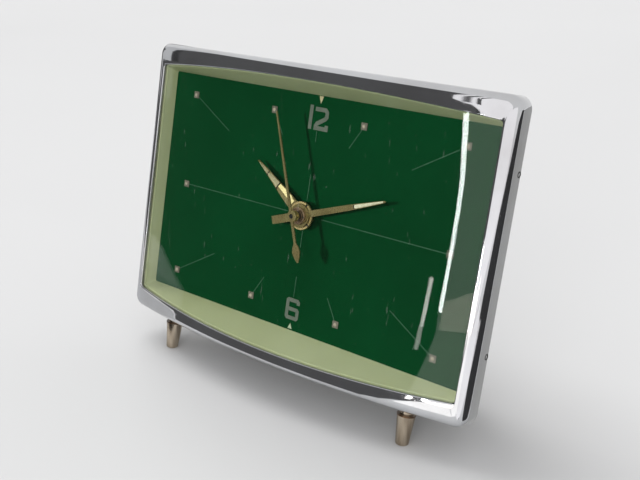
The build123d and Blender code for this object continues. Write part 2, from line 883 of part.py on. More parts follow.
with BuildPart() as centre_wheel:
    with BuildSketch(at(centre_axis, centre_wheel_front)):
        add(crossed_wheel(centre_teeth, centre_module, 0, centre_tube_radius))
        Circle(centre_tube_radius + push_fit, mode=Mode.SUBTRACT)
    extrude(amount=-wheel_sheet)

with BuildPart() as third_arbor:
    for front, back, radius in spanning(third_arbor_radius):
        with BuildSketch(at(third_axis, front)):
            Circle(radius)
        extrude(amount=front - back)
    with BuildSketch(at(third_axis, centre_wheel_front - motion_gap)):
        add(toothed(third_leaves, centre_module, third_pinion_turn, leaf=True))
    extrude(amount=centre_wheel_front - motion_gap - third_pinion_back)

with BuildPart() as third_wheel:
    with BuildSketch(at(third_axis, third_wheel_front)):
        add(crossed_wheel(third_teeth, third_module, 0, third_arbor_radius))
        Circle(third_arbor_radius + push_fit, mode=Mode.SUBTRACT)
    extrude(amount=-wheel_sheet)

with BuildPart() as seconds_arbor:
    for front, back, radius in (
        (-second_hand_height - hand_sheet, back_plate_front - end_shake, seconds_arbor_radius),
        (back_plate_front - end_shake, back_plate_back, pivot_radius),
    ):
        with BuildSketch(at(centre_axis, front)):
            Circle(radius)
        extrude(amount=front - back)
    with BuildSketch(at(centre_axis, fourth_pinion_front)):
        add(toothed(fourth_leaves, third_module, fourth_pinion_turn, leaf=True))
    extrude(amount=fourth_pinion_front - fourth_pinion_back)

with BuildPart() as fourth_wheel:
    with BuildSketch(at(centre_axis, fourth_wheel_front)):
        add(crossed_wheel(fourth_teeth, fourth_module, 0, seconds_arbor_radius))
        Circle(seconds_arbor_radius + push_fit, mode=Mode.SUBTRACT)
    extrude(amount=-wheel_sheet)

with BuildPart() as escape_arbor:
    for front, back, radius in spanning(escape_arbor_radius):
        with BuildSketch(at(escape_axis, front)):
            Circle(radius)
        extrude(amount=front - back)
    with BuildSketch(at(escape_axis, escape_pinion_front)):
        add(toothed(escape_leaves, fourth_module, escape_pinion_turn, leaf=True))
    extrude(amount=escape_pinion_front - escape_pinion_back)

with BuildPart() as escape_wheel:
    with BuildSketch(at(escape_axis, great_front)):
        add(
            crossed(
                saw_toothed(
                    escape_teeth, escape_tip_radius, escape_root_radius, escape_tip_share, escape_lean_share
                ),
                escape_root_radius - spoke_width / 2,
                escape_arbor_radius + wheel_hub_wall,
            )
        )
        Circle(escape_arbor_radius + push_fit, mode=Mode.SUBTRACT)
    extrude(amount=-wheel_sheet)

# Winding work
with BuildPart() as winding_arbor:
    for front, back, radius in (
        (front_plate_front, front_plate_back + end_shake, winding_pivot_radius),
        (front_plate_back + end_shake, mainspring_front, winding_arbor_radius),
        (mainspring_front, mainspring_back, spring_core_radius),
        (mainspring_back, key_back - wheel_gap, winding_arbor_radius),
    ):
        with BuildSketch(at(great_axis, front)):
            Circle(radius)
        extrude(amount=front - back)

with BuildPart() as ratchet_wheel:
    with BuildSketch(at(great_axis, ratchet_front)):
        add(
            saw_toothed(
                ratchet_teeth, ratchet_tip_radius, ratchet_root_radius, ratchet_tip_share, ratchet_lean_share
            )
        )
        Circle(winding_arbor_radius + push_fit, mode=Mode.SUBTRACT)
    extrude(amount=-ratchet_sheet)

click_pivot = polar(centre_axis, click_pivot_distance, click_angle)
click_nose = polar(
    centre_axis, ratchet_tip_radius + click_clearance + click_nose_radius, click_angle - click_lead_angle
)
click_spring_radius = click_pivot_distance + click_boss_radius + seat_gap

with BuildPart() as great_wheel:
    with BuildSketch(at(great_axis, great_front)):
        add(crossed_wheel(great_teeth, great_module, 0, click_spring_radius))
        Circle(winding_arbor_radius + running_fit, mode=Mode.SUBTRACT)
    extrude(amount=-great_sheet)
    with BuildSketch(at(great_axis, ratchet_front)):
        with Locations(click_pivot):
            Circle(click_pivot_radius)
    extrude(amount=ratchet_front - great_front)

with BuildPart() as click:
    with BuildSketch(at(great_axis, ratchet_front)):
        with Locations(click_pivot):
            Circle(click_boss_radius)
        with Locations(click_nose):
            Circle(click_nose_radius)
        make_hull()
        with Locations(click_pivot):
            Circle(click_pivot_radius + running_fit, mode=Mode.SUBTRACT)
    extrude(amount=-ratchet_sheet)

with BuildPart() as click_spring:
    with BuildSketch(at(great_axis, ratchet_front)):
        add(
            arc_band(
                click_spring_radius,
                click_spring_radius + click_spring_sheet,
                click_angle - click_spring_lag_angle,
                click_spring_span_angle,
            )
        )
    extrude(amount=ratchet_front - great_front)

with BuildPart() as mainspring:
    with BuildSketch(at(great_axis, mainspring_front + seat_gap)):
        add(
            spiral_band(
                spring_core_radius + spring_eye_gap, mainspring_pitch, mainspring_turns, mainspring_sheet
            ),
            rotation=180,
        )
    extrude(amount=2 * seat_gap - mainspring_width)

with BuildPart() as spring_post:
    with BuildSketch(at(spring_post_axis, mainspring_front)):
        Circle(spring_post_radius)
    extrude(amount=mainspring_front - back_plate_back)

with BuildPart() as winding_key:
    with BuildSketch(at(great_axis, outside_front)):
        Circle(key_hub_radius)
    extrude(amount=-key_hub_length)
    key_middle = at(great_axis, outside_front + key_hub_length / 2).origin
    with BuildSketch(Plane(origin=key_middle, x_dir=dial_face.x_dir, z_dir=dial_face.y_dir)):
        with Locations((-key_wing_spread / 2, 0), (key_wing_spread / 2, 0)):
            Circle(key_wing_radius - seat_gap)
        Rectangle(key_wing_spread, key_wing_radius)
        with Locations((-key_wing_spread / 2, 0), (key_wing_spread / 2, 0)):
            Circle(key_wing_hole_radius, mode=Mode.SUBTRACT)
    extrude(amount=key_wing_thickness / 2, both=True)
    with BuildSketch(at(great_axis, outside_front - overrun)):
        Circle(winding_arbor_radius + push_fit)
    extrude(amount=wheel_gap - key_hub_length - overrun, mode=Mode.SUBTRACT)

# Escapement and balance
pallet_pins = [
    polar(escape_axis, pallet_circle, pallet_line_angle + side * pallet_half_span_angle) for side in (-1, 1)
]
pallet_back = great_front - motion_gap
pallet_front = pallet_back - pallet_sheet
fork_reach = balance_distance - impulse_pin_distance + impulse_pin_radius
fork_tip = polar(pallet_axis, fork_reach, pallet_line_angle)
roller_back = pallet_front - motion_gap - impulse_pin_radius
balance_front = great_back
balance_back = balance_front + balance_sheet
hairspring_front = balance_back + 2 * wheel_gap
staff_front = front_plate_back + bearing_stand + end_shake
staff_back = back_plate_front - bearing_stand - end_shake

with BuildPart() as pallet_arbor:
    for front, back, radius in spanning(pallet_arbor_radius):
        with BuildSketch(at(pallet_axis, front)):
            Circle(radius)
        extrude(amount=front - back)

with BuildPart() as pallet_lever:
    with BuildSketch(dial_face.offset(-pallet_front)):
        for spot in pallet_pins:
            add(bar(pallet_axis, spot, pallet_arm_width))
        add(bar(pallet_axis, fork_tip, pallet_arm_width))
        with Locations(pallet_axis):
            Circle(pallet_boss_radius)
        with Locations(fork_tip):
            Rectangle(fork_slot_depth, fork_width, rotation=pallet_line_angle)
        with Locations(polar(fork_tip, fork_slot_depth / 2, pallet_line_angle)):
            Rectangle(2 * fork_slot_depth, fork_slot_width, rotation=pallet_line_angle, mode=Mode.SUBTRACT)
        with Locations(pallet_axis):
            Circle(pallet_arbor_radius + push_fit, mode=Mode.SUBTRACT)
    extrude(amount=-pallet_sheet)
    with BuildSketch(dial_face.offset(-pallet_back)):
        with Locations(*pallet_pins):
            Circle(pallet_pin_radius)
    extrude(amount=pallet_back - great_front - wheel_sheet - motion_gap)

with BuildPart() as balance_staff:
    for front, back, radius in (
        (staff_front - balance_pivot_length, staff_front, balance_pivot_radius),
        (staff_front, staff_back, balance_staff_radius),
        (staff_back, staff_back + balance_pivot_length, balance_pivot_radius),
        (roller_back - roller_sheet, roller_back, roller_radius),
    ):
        with BuildSketch(at(balance_axis, front)):
            Circle(radius)
        extrude(amount=front - back)
    with BuildSketch(at(polar(balance_axis, impulse_pin_distance, pallet_line_angle + 180), roller_back)):
        Circle(impulse_pin_radius)
    extrude(amount=-impulse_pin_radius)

with BuildPart() as balance_wheel:
    with BuildSketch(at(balance_axis, balance_front)):
        Circle(balance_rim_radius)
        Circle(balance_rim_radius - balance_rim_width, mode=Mode.SUBTRACT)
        Rectangle(2 * balance_rim_radius - balance_rim_width, balance_spoke_width)
        Circle(balance_hub_radius)
        Circle(balance_staff_radius + push_fit, mode=Mode.SUBTRACT)
    extrude(amount=-balance_sheet)

with BuildPart() as hairspring:
    with BuildSketch(at(balance_axis, hairspring_front)):
        add(spiral_band(hairspring_inner_radius, hairspring_pitch, hairspring_turns, hairspring_sheet))
        Circle(hairspring_inner_radius + hairspring_sheet / 2)
        Circle(balance_staff_radius + push_fit, mode=Mode.SUBTRACT)
    extrude(amount=-hairspring_width)

with BuildPart() as hairspring_stud:
    with BuildSketch(at(stud_axis, hairspring_front)):
        Circle(hairspring_stud_radius)
    extrude(amount=hairspring_front - back_plate_front)

with BuildPart() as balance_bearings:
    with BuildSketch(at(balance_axis, front_plate_front - motion_gap)):
        Circle(bearing_radius)
    extrude(amount=front_plate_front - motion_gap - front_plate_back - bearing_stand)
    with BuildSketch(at(balance_axis, back_plate_front - bearing_stand)):
        Circle(bearing_radius)
    extrude(amount=back_plate_front - bearing_stand - back_plate_back - 2 * regulator_sheet)
    with BuildSketch(at(balance_axis, staff_front - balance_pivot_length - end_shake)):
        Circle(balance_pivot_radius + running_fit)
    extrude(amount=staff_front - staff_back - 2 * (balance_pivot_length + end_shake), mode=Mode.SUBTRACT)

with BuildPart() as regulator:
    with BuildSketch(at(balance_axis, back_plate_back + seat_gap)):
        Circle(regulator_boss_radius)
        add(bar(centre_axis, polar(centre_axis, regulator_reach, regulator_angle), regulator_arm_width))
        Circle(bearing_radius + running_fit, mode=Mode.SUBTRACT)
    extrude(amount=-regulator_sheet)
    with BuildSketch(at(regulator_spot, back_plate_back + seat_gap)):
        Circle(regulator_tab_radius)
    extrude(amount=back_plate_back + seat_gap - cover_back - regulator_tab_stand)
    with BuildSketch(at(polar(balance_axis, curb_distance, regulator_angle), hairspring_front)):
        Circle(curb_pin_radius)
    extrude(amount=hairspring_front - back_plate_back - regulator_sheet)

# Names and files
pieces = {
    "rim": rim,
    "lens": lens,
    "dial_insert": dial_insert,
    "dial": dial,
    "back_cover": back_cover,
    "cover_screws": cover_screws,
    "front_foot_left": front_feet["left"],
    "front_foot_right": front_feet["right"],
    "rear_foot": rear_foot,
    "dial_posts": dial_posts,
    "front_plate": front_plate,
    "back_plate": back_plate,
    "pillars": pillars,
    "pillar_nuts": pillar_nuts,
    "hour_hand": hour_hand,
    "hour_wheel": hour_wheel,
    "minute_hand": minute_hand,
    "cannon_pinion": cannon_pinion,
    "hand_nut": hand_nut,
    "second_hand": second_hand,
    "minute_wheel": minute_wheel,
    "set_arbor": set_arbor,
    "set_knob": set_knob,
    "winding_arbor": winding_arbor,
    "ratchet_wheel": ratchet_wheel,
    "winding_key": winding_key,
    "great_wheel": great_wheel,
    "click": click,
    "click_spring": click_spring,
    "mainspring": mainspring,
    "spring_post": spring_post,
    "centre_wheel": centre_wheel,
    "centre_arbor": centre_arbor,
    "third_wheel": third_wheel,
    "third_arbor": third_arbor,
    "fourth_wheel": fourth_wheel,
    "seconds_arbor": seconds_arbor,
    "escape_wheel": escape_wheel,
    "escape_arbor": escape_arbor,
    "pallet_lever": pallet_lever,
    "pallet_arbor": pallet_arbor,
    "balance_wheel": balance_wheel,
    "balance_staff": balance_staff,
    "hairspring": hairspring,
    "hairspring_stud": hairspring_stud,
    "balance_bearings": balance_bearings,
    "regulator": regulator,
}
os.makedirs("parts", exist_ok=True)
for name, piece in pieces.items():
    piece.part.label = name
    export_step(piece.part, f"parts/{name}.step")

print("least gap in the mainspring", mainspring_pitch - mainspring_sheet)
print("least gap in the hairspring", hairspring_pitch - hairspring_sheet)
for name, axis in {
    "centre": centre_axis,
    "great": great_axis,
    "click": (great_axis[0] + click_pivot[0], great_axis[1] + click_pivot[1]),
    "third": third_axis,
    "escape": escape_axis,
    "set": set_axis,
    "pallet": pallet_axis,
    "balance": balance_axis,
}.items():
    place = at(axis, great_front).origin
    print(name, "axis at", round(place.X, 4), round(place.Y, 4), round(place.Z, 4))
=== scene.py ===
import json
import math

import bmesh
import bpy
from mathutils import Matrix, Vector
from mathutils.geometry import interpolate_bezier


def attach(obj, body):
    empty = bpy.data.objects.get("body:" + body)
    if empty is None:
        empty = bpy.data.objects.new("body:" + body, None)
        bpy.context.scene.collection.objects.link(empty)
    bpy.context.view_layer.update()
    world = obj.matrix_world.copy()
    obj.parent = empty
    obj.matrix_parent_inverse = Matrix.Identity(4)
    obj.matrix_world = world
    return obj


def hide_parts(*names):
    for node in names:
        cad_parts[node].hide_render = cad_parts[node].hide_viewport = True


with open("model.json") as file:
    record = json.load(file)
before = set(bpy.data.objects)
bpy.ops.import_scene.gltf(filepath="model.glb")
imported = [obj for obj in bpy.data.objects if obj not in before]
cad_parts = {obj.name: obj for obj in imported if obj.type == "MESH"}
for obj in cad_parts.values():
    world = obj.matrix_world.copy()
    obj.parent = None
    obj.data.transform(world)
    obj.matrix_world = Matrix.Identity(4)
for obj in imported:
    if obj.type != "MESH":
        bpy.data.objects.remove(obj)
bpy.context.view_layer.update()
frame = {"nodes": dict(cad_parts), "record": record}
scene = bpy.context.scene
scene.view_settings.view_transform = "Standard"

# the dial's front is a plane that leans back; pieces are drawn on it in millimetres
dialPlace = dict(lean=math.radians(12.6), middle=(0, -0.0095286, 0.057512), millimetre=0.001)


def dialToRow():
    lean = dialPlace["lean"]
    rise = Vector((0, math.sin(lean), math.cos(lean)))
    front = Vector((0, -math.cos(lean), math.sin(lean)))
    turn = Matrix((Vector((1, 0, 0)), rise, front)).transposed().to_4x4()
    return Matrix.Translation(dialPlace["middle"]) @ turn @ Matrix.Scale(dialPlace["millimetre"], 4)


toRow = dialToRow()


def paint(red, green, blue):  # screen colour, 0 to 255, to the shader's linear one
    def linear(value):
        value /= 255
        return value / 12.92 if value <= 0.04045 else ((value + 0.055) / 1.055) ** 2.4

    return (linear(red), linear(green), linear(blue), 1)


# finishes; pattern scales are in waves to the metre
surfaceMake = dict(toneDetail=4, grainDetail=2, band=(0.3, 0.7), strength=0.25)
chromeMake = dict(
    tarnishScale=55, tarnishDetail=5, tarnish=((0.32, (0.57, 0.57, 0.58, 1)), (0.62, (0.66, 0.67, 0.69, 1))),
    metallic=0.97,  # the rest is a thin haze
    pitScale=700, pitSize=0.16, pitRough=0.25, waveScale=60, strength=0.05, depth=0.00003,
    smearScale=120, smearStretch=(1, 1, 0.25), smearBand=(0.35, 0.7), rough=(0.02, 0.08),
)
lensMake = dict(
    dustColour=(0.9, 0.92, 0.9, 1), dustRough=0.7, tint=(0.97, 0.985, 0.97, 1), glossColour=(1, 1, 1, 1),
    roughScale=90, roughBand=(0.4, 0.7), rough=(0.006, 0.03),
    facingBlend=0.5, facingPower=5.0, edgeGain=0.9, leastGloss=0.02,
    dustScale=260, dustSize=0.06, dustBand=(0.55, 0.75), dustPatch=45, dustMost=0.2,
    scratchScale=900, scratchStretch=(1, 1, 0.04), scratchBand=(0.74, 0.8), scratchMost=0.03,
)
insertGlow = {"Subsurface Weight": 0.2, "Subsurface Radius": (0.0012, 0.0012, 0.0007)}
drawnMetal = dict(grain=5200, grainDepth=0.0000015, stretch=(1, 1, 0.2))


def newFinish(name):
    finish = bpy.data.materials.new(name)
    finish.use_nodes = True
    tree = finish.node_tree
    tree.nodes.clear()
    output = tree.nodes.new("ShaderNodeOutputMaterial")
    shader = tree.nodes.new("ShaderNodeBsdfPrincipled")
    tree.links.new(shader.outputs["BSDF"], output.inputs["Surface"])
    return finish, tree, shader, output


def setInputs(node, values):
    for name, value in values.items():
        node.inputs[name].default_value = value


def patternSpace(tree, stretch=(1, 1, 1)):
    coordinates = tree.nodes.new("ShaderNodeTexCoord")
    mapping = tree.nodes.new("ShaderNodeMapping")
    setInputs(mapping, {"Scale": stretch})
    tree.links.new(coordinates.outputs["Object"], mapping.inputs["Vector"])
    return mapping.outputs["Vector"]


def cloud(tree, scale, detail=3, stretch=(1, 1, 1)):
    noise = tree.nodes.new("ShaderNodeTexNoise")
    setInputs(noise, {"Scale": scale, "Detail": detail})
    tree.links.new(patternSpace(tree, stretch), noise.inputs["Vector"])
    return noise.outputs["Fac"]


def specks(tree, scale, size):  # 1 at the middle of a speck, 0 away from it
    cells = tree.nodes.new("ShaderNodeTexVoronoi")
    setInputs(cells, {"Scale": scale})
    tree.links.new(patternSpace(tree), cells.inputs["Vector"])
    return spread(tree, cells.outputs["Distance"], (0, size), (1, 0))


def spread(tree, value, given, wanted):
    ranged = tree.nodes.new("ShaderNodeMapRange")
    setInputs(ranged, dict(zip(("From Min", "From Max", "To Min", "To Max"), (*given, *wanted))))
    tree.links.new(value, ranged.inputs["Value"])
    return ranged.outputs["Result"]


def tones(tree, value, stops):
    ramp = tree.nodes.new("ShaderNodeValToRGB")
    elements = ramp.color_ramp.elements
    while len(elements) < len(stops):
        elements.new(0.5)
    for element, (place, colour) in zip(elements, stops):
        element.position = place
        element.color = colour
    tree.links.new(value, ramp.inputs["Fac"])
    return ramp.outputs["Color"]


def combine(tree, operation, first, second):
    node = tree.nodes.new("ShaderNodeMath")
    node.operation = operation
    for socket, value in zip(node.inputs, (first, second)):
        if isinstance(value, (int, float)):
            socket.default_value = value
        else:
            tree.links.new(value, socket)
    return node.outputs["Value"]


def relief(tree, shader, height, strength, distance):
    bump = tree.nodes.new("ShaderNodeBump")
    setInputs(bump, {"Strength": strength, "Distance": distance})
    tree.links.new(height, bump.inputs["Height"])
    tree.links.new(bump.outputs["Normal"], shader.inputs["Normal"])


def surface(name, dark, light, rough, metal=0.0, blotch=40, grain=900, grainDepth=0.00002, stretch=(1, 1, 1),
            level=0.5, drawn=(1, 1, 1)):
    finish, tree, shader, _ = newFinish(name)
    low, high = surfaceMake["band"]
    blotches = cloud(tree, blotch, surfaceMake["toneDetail"], drawn)
    tone = tones(tree, blotches, ((low, paint(*dark)), (high, paint(*light))))
    tree.links.new(tone, shader.inputs["Base Color"])
    fine = cloud(tree, grain, surfaceMake["grainDetail"], stretch)
    tree.links.new(spread(tree, fine, (low, high), rough), shader.inputs["Roughness"])
    relief(tree, shader, fine, surfaceMake["strength"], grainDepth)
    setInputs(shader, {"Metallic": metal, "Specular IOR Level": level})
    return finish


def chromeFinish():
    make = chromeMake
    finish, tree, shader, _ = newFinish("chromePlate")
    tarnish = cloud(tree, make["tarnishScale"], make["tarnishDetail"])
    tree.links.new(tones(tree, tarnish, make["tarnish"]), shader.inputs["Base Color"])
    setInputs(shader, {"Metallic": make["metallic"]})
    pits = specks(tree, make["pitScale"], make["pitSize"])
    smear = cloud(tree, make["smearScale"], stretch=make["smearStretch"])
    smear = spread(tree, smear, make["smearBand"], make["rough"])
    rough = combine(tree, "ADD", smear, combine(tree, "MULTIPLY", pits, make["pitRough"]))
    tree.links.new(rough, shader.inputs["Roughness"])
    waves = combine(tree, "SUBTRACT", cloud(tree, make["waveScale"], detail=1), pits)
    relief(tree, shader, waves, make["strength"], make["depth"])
    return finish


def mixed(tree, share, first, second):
    mix = tree.nodes.new("ShaderNodeMixShader")
    tree.links.new(share, mix.inputs["Fac"])
    tree.links.new(first, mix.inputs[1])
    tree.links.new(second, mix.inputs[2])
    return mix.outputs["Shader"]


def lensFinish():  # a clear pane, mirror-like at grazing, with dust and fine scratches
    make = lensMake
    finish, tree, shader, output = newFinish("clearAcrylic")
    setInputs(shader, {"Base Color": make["dustColour"], "Roughness": make["dustRough"]})
    clear = tree.nodes.new("ShaderNodeBsdfTransparent")
    setInputs(clear, {"Color": make["tint"]})
    gloss = tree.nodes.new("ShaderNodeBsdfGlossy")
    setInputs(gloss, {"Color": make["glossColour"]})
    rough = spread(tree, cloud(tree, make["roughScale"]), make["roughBand"], make["rough"])
    tree.links.new(rough, gloss.inputs["Roughness"])
    facing = tree.nodes.new("ShaderNodeLayerWeight")
    setInputs(facing, {"Blend": make["facingBlend"]})
    grazing = combine(tree, "POWER", facing.outputs["Facing"], make["facingPower"])
    share = combine(tree, "ADD", combine(tree, "MULTIPLY", grazing, make["edgeGain"]), make["leastGloss"])
    pane = mixed(tree, share, clear.outputs["BSDF"], gloss.outputs["BSDF"])
    patches = spread(tree, cloud(tree, make["dustPatch"], detail=2), make["dustBand"], (0, make["dustMost"]))
    dust = combine(tree, "MULTIPLY", specks(tree, make["dustScale"], make["dustSize"]), patches)
    lines = cloud(tree, make["scratchScale"], 1, make["scratchStretch"])
    scratch = spread(tree, lines, make["scratchBand"], (0, make["scratchMost"]))
    dressed = mixed(tree, combine(tree, "ADD", dust, scratch), pane, shader.outputs["BSDF"])
    tree.links.new(dressed, output.inputs["Surface"])
    return finish


def insertFinish():
    finish = surface("yellowedPlastic", (186, 190, 146), (206, 210, 170), (0.4, 0.55), blotch=22, grain=700)
    setInputs(finish.node_tree.nodes["Principled BSDF"], insertGlow)
    return finish


def brushed(name, dark, light, rough, metal=1.0, blotch=160, drawn=(1, 1, 1)):  # fine lines along a piece
    return surface(name, dark, light, rough, metal, blotch, drawn=drawn, **drawnMetal)


def printed(name, dark, light, blotch):  # thin satin print
    return surface(name, dark, light, (0.45, 0.6), blotch=blotch, grain=2500)


def lumePaint(name, dark, light, rough, blotch=700, grainDepth=0.00002):
    return surface(name, dark, light, rough, blotch=blotch, grain=4000, grainDepth=grainDepth)


finishes = dict(
    chrome=chromeFinish(),
    clear_acrylic=lensFinish(),
    cream_plastic=insertFinish(),
    green_enamel=surface(
        "deepGreenPaint", (0, 43, 18), (0, 49, 22), (0.5, 0.65), blotch=28, grain=1500, grainDepth=0.000002,
        level=0.05
    ),
    cover_enamel=surface(
        "greyEnamel", (150, 151, 146), (170, 171, 166), (0.35, 0.5), blotch=18, grain=420, grainDepth=0.00006
    ),
    foot_nickel=brushed(
        "wornNickel", (146, 130, 110), (214, 201, 181), (0.12, 0.24), blotch=480, drawn=(1, 1, 0.05)
    ),
    bright_nickel=brushed("keyNickel", (170, 166, 158), (205, 202, 195), (0.14, 0.3)),
    gilt=brushed("giltHand", (146, 131, 88), (178, 163, 114), (0.24, 0.36), 0.75),
    brass=brushed("plateBrass", (168, 134, 70), (205, 170, 100), (0.2, 0.38)),
    steel=brushed("turnedSteel", (120, 121, 124), (160, 161, 164), (0.2, 0.36)),
    spring_steel=brushed("bluedStrip", (52, 58, 74), (84, 90, 108), (0.2, 0.34)),
)
numeralFinish = printed("numeralPrint", (74, 81, 72), (84, 90, 81), 400)
hairlineFinish = printed("hairlinePrint", (30, 64, 44), (44, 78, 57), 300)
markerFinish = printed("markerPrint", (80, 78, 68), (96, 92, 82), 600)
lumeFinish = lumePaint("lumePaint", (122, 132, 110), (142, 152, 130), (0.7, 0.9), 900, 0.00005)
dotFinish = lumePaint("dotPaint", (126, 117, 104), (146, 136, 122), (0.7, 0.9), 900, 0.00005)
agedLumeFinish = lumePaint("agedLume", (140, 131, 100), (158, 149, 118), (0.5, 0.7))
paleLumeFinish = lumePaint("paleLume", (162, 158, 132), (184, 180, 156), (0.55, 0.8))
# painted highlight: a paler, less metallic copy of the gilt for the lit half of the hour hand's ridge
highlightFacetFinish = brushed("polishedFacet", (226, 209, 144), (240, 224, 166), (0.18, 0.3), 0.2)
# painted highlight: a paler copy of the gilt for the bright rim of the hour hand's hub
rimHighlightFinish = brushed("rolledGilt", (206, 180, 124), (226, 202, 148), (0.2, 0.32), 0.6)
# painted shade: a darker bronze for the cannon tube and the hand nut, which sit in the shade between the
# hands
shadedBronzeFinish = brushed("hubBronze", (112, 90, 70), (150, 126, 102), (0.24, 0.36), 0.6)
patinaFinish = brushed("ringPatina", (66, 50, 38), (112, 88, 66), (0.2, 0.34), 0.8)
# painted shade: a near-black finish for slits, lines across the hands and the side screw heads, where shade
# falls
shadowGapFinish = surface("darkGap", (24, 24, 22), (40, 38, 34), (0.7, 0.9), blotch=300, grain=2500)
for slotRow in frame["record"]["subparts"]:  # every carried-over node takes its slot's finish
    node = frame["nodes"][slotRow["node"]]
    finish = finishes[slotRow["material_slot"]]
    if node.material_slots:
        for materialSlot in node.material_slots:
            materialSlot.material = finish
    else:
        node.data.materials.append(finish)
for materialSlot in frame["nodes"]["cannon_pinion"].material_slots:  # the tube takes a darker bronze: painted shade where the hands sit over it
    materialSlot.material = shadedBronzeFinish
print("finishes:", len(bpy.data.materials))


# shared shaping
def finishPiece(bm, name, finish, body="case", replaced=(), smoothAngle=32, place=None, onFloor=False):
    bmesh.ops.transform(bm, matrix=toRow if place is None else toRow @ place, verts=bm.verts)
    if onFloor:  # the sole is cut flat by the floor
        cut = bmesh.ops.bisect_plane(
            bm, geom=bm.verts[:] + bm.edges[:] + bm.faces[:], plane_co=(0, 0, 0), plane_no=(0, 0, -1),
            clear_outer=True
        )
        rimEdges = [g for g in cut["geom_cut"] if isinstance(g, bmesh.types.BMEdge)]
        bmesh.ops.holes_fill(bm, edges=rimEdges)
    bmesh.ops.recalc_face_normals(bm, faces=bm.faces[:])
    openEdges = sum(1 for edge in bm.edges if not edge.is_manifold)
    mesh = bpy.data.meshes.new(name)
    bm.to_mesh(mesh)
    bm.free()
    mesh.materials.append(finish)
    for polygon in mesh.polygons:
        polygon.use_smooth = True
    mesh.set_sharp_from_angle(angle=math.radians(smoothAngle))
    piece = bpy.data.objects.new(name, mesh)
    scene.collection.objects.link(piece)
    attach(piece, body)
    if replaced:
        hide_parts(*replaced)
    print("piece", name, len(mesh.polygons), "faces", openEdges, "open edges")


def grownVerts(result):
    return [g for g in result["geom"] if isinstance(g, bmesh.types.BMVert)]


def facesOf(verts):
    return list({face for vert in verts for face in vert.link_faces})


def plate(bm, halfWidth, halfHeight, x=0, y=0):  # four corners and a face
    verts = bmesh.ops.create_grid(bm, x_segments=1, y_segments=1, size=1)["verts"]
    for vert in verts:
        vert.co = (x + math.copysign(halfWidth, vert.co.x), y + math.copysign(halfHeight, vert.co.y), 0)
    return verts


def outlineLoop(bm, form, arcs=8, longCuts=55, shortCuts=29):  # rounded rectangle as a wire
    verts = plate(bm, form["width"] / 2, form["height"] / 2)
    bmesh.ops.bevel(
        bm, geom=verts, offset=form["corner"], offset_type="OFFSET", segments=arcs, profile=0.5,
        affect="VERTICES", material=-1
    )
    bmesh.ops.delete(bm, geom=bm.faces[:], context="FACES_ONLY")
    for cuts, axis in ((longCuts, 0), (shortCuts, 1)):
        straight = [
            edge for edge in bm.edges
            if edge.calc_length() > form["height"] / 2
            and abs(edge.verts[0].co[axis] - edge.verts[1].co[axis]) > 1
        ]
        bmesh.ops.subdivide_edges(bm, edges=straight, cuts=cuts)
    layers = [bm.verts.layers.float.new(label) for label in ("homeX", "homeY")]
    ring = bm.verts.layers.int.new("ring")
    for vert in bm.verts:
        vert[layers[0]], vert[layers[1]] = vert.co.x, vert.co.y
    return layers, ring


def drawnIn(home, full, corner, wantedFull, wantedCorner):  # one coordinate moved to a smaller outline
    straight = full / 2 - corner
    wantedStraight = wantedFull / 2 - wantedCorner
    size = abs(home)
    if size <= straight:
        moved = size * wantedStraight / straight
    else:
        moved = wantedStraight + (size - straight) * wantedCorner / corner
    return math.copysign(moved, home)


def ringStack(bm, form, stations):  # a rounded outline pulled through its stations into a closed ring
    layers, ring = outlineLoop(bm, form)
    edges = bm.edges[:]
    first = edges
    for index, station in enumerate(stations):
        if index:
            verts = grownVerts(bmesh.ops.extrude_edge_only(bm, edges=edges))
            fresh = set(verts)
            edges = [edge for edge in bm.edges if edge.verts[0] in fresh and edge.verts[1] in fresh]
        else:
            verts = bm.verts[:]
        for vert in verts:
            vert[ring] = index
            vert.co = station(vert[layers[0]], vert[layers[1]])
    bmesh.ops.bridge_loops(bm, edges=edges + first)
    return ring


def ringEdges(bm, ring, index):
    return [edge for edge in bm.edges if edge.verts[0][ring] == index and edge.verts[1][ring] == index]


def roundEdges(bm, edges, offset, segments):
    bmesh.ops.bevel(
        bm, geom=edges, offset=offset, offset_type="OFFSET", segments=segments, profile=0.5, affect="EDGES",
        clamp_overlap=False, material=-1
    )


def turned(bm, profile, steps, closed=False):  # radius and height pairs spun round +Z
    verts = [bm.verts.new((radius, 0, height)) for radius, height in profile]
    pairs = list(zip(verts, verts[1:])) + ([(verts[-1], verts[0])] if closed else [])
    edges = [bm.edges.new(pair) for pair in pairs]
    bmesh.ops.spin(
        bm, geom=verts + edges, cent=(0, 0, 0), axis=(0, 0, 1), angle=2 * math.pi, steps=steps,
        use_merge=True, use_duplicate=False
    )
    bmesh.ops.remove_doubles(bm, verts=bm.verts, dist=0.001)


def thicken(bm, faces, height):  # a flat sheet drawn up to a height
    for vert in grownVerts(bmesh.ops.extrude_face_region(bm, geom=faces)):
        vert.co.z += height


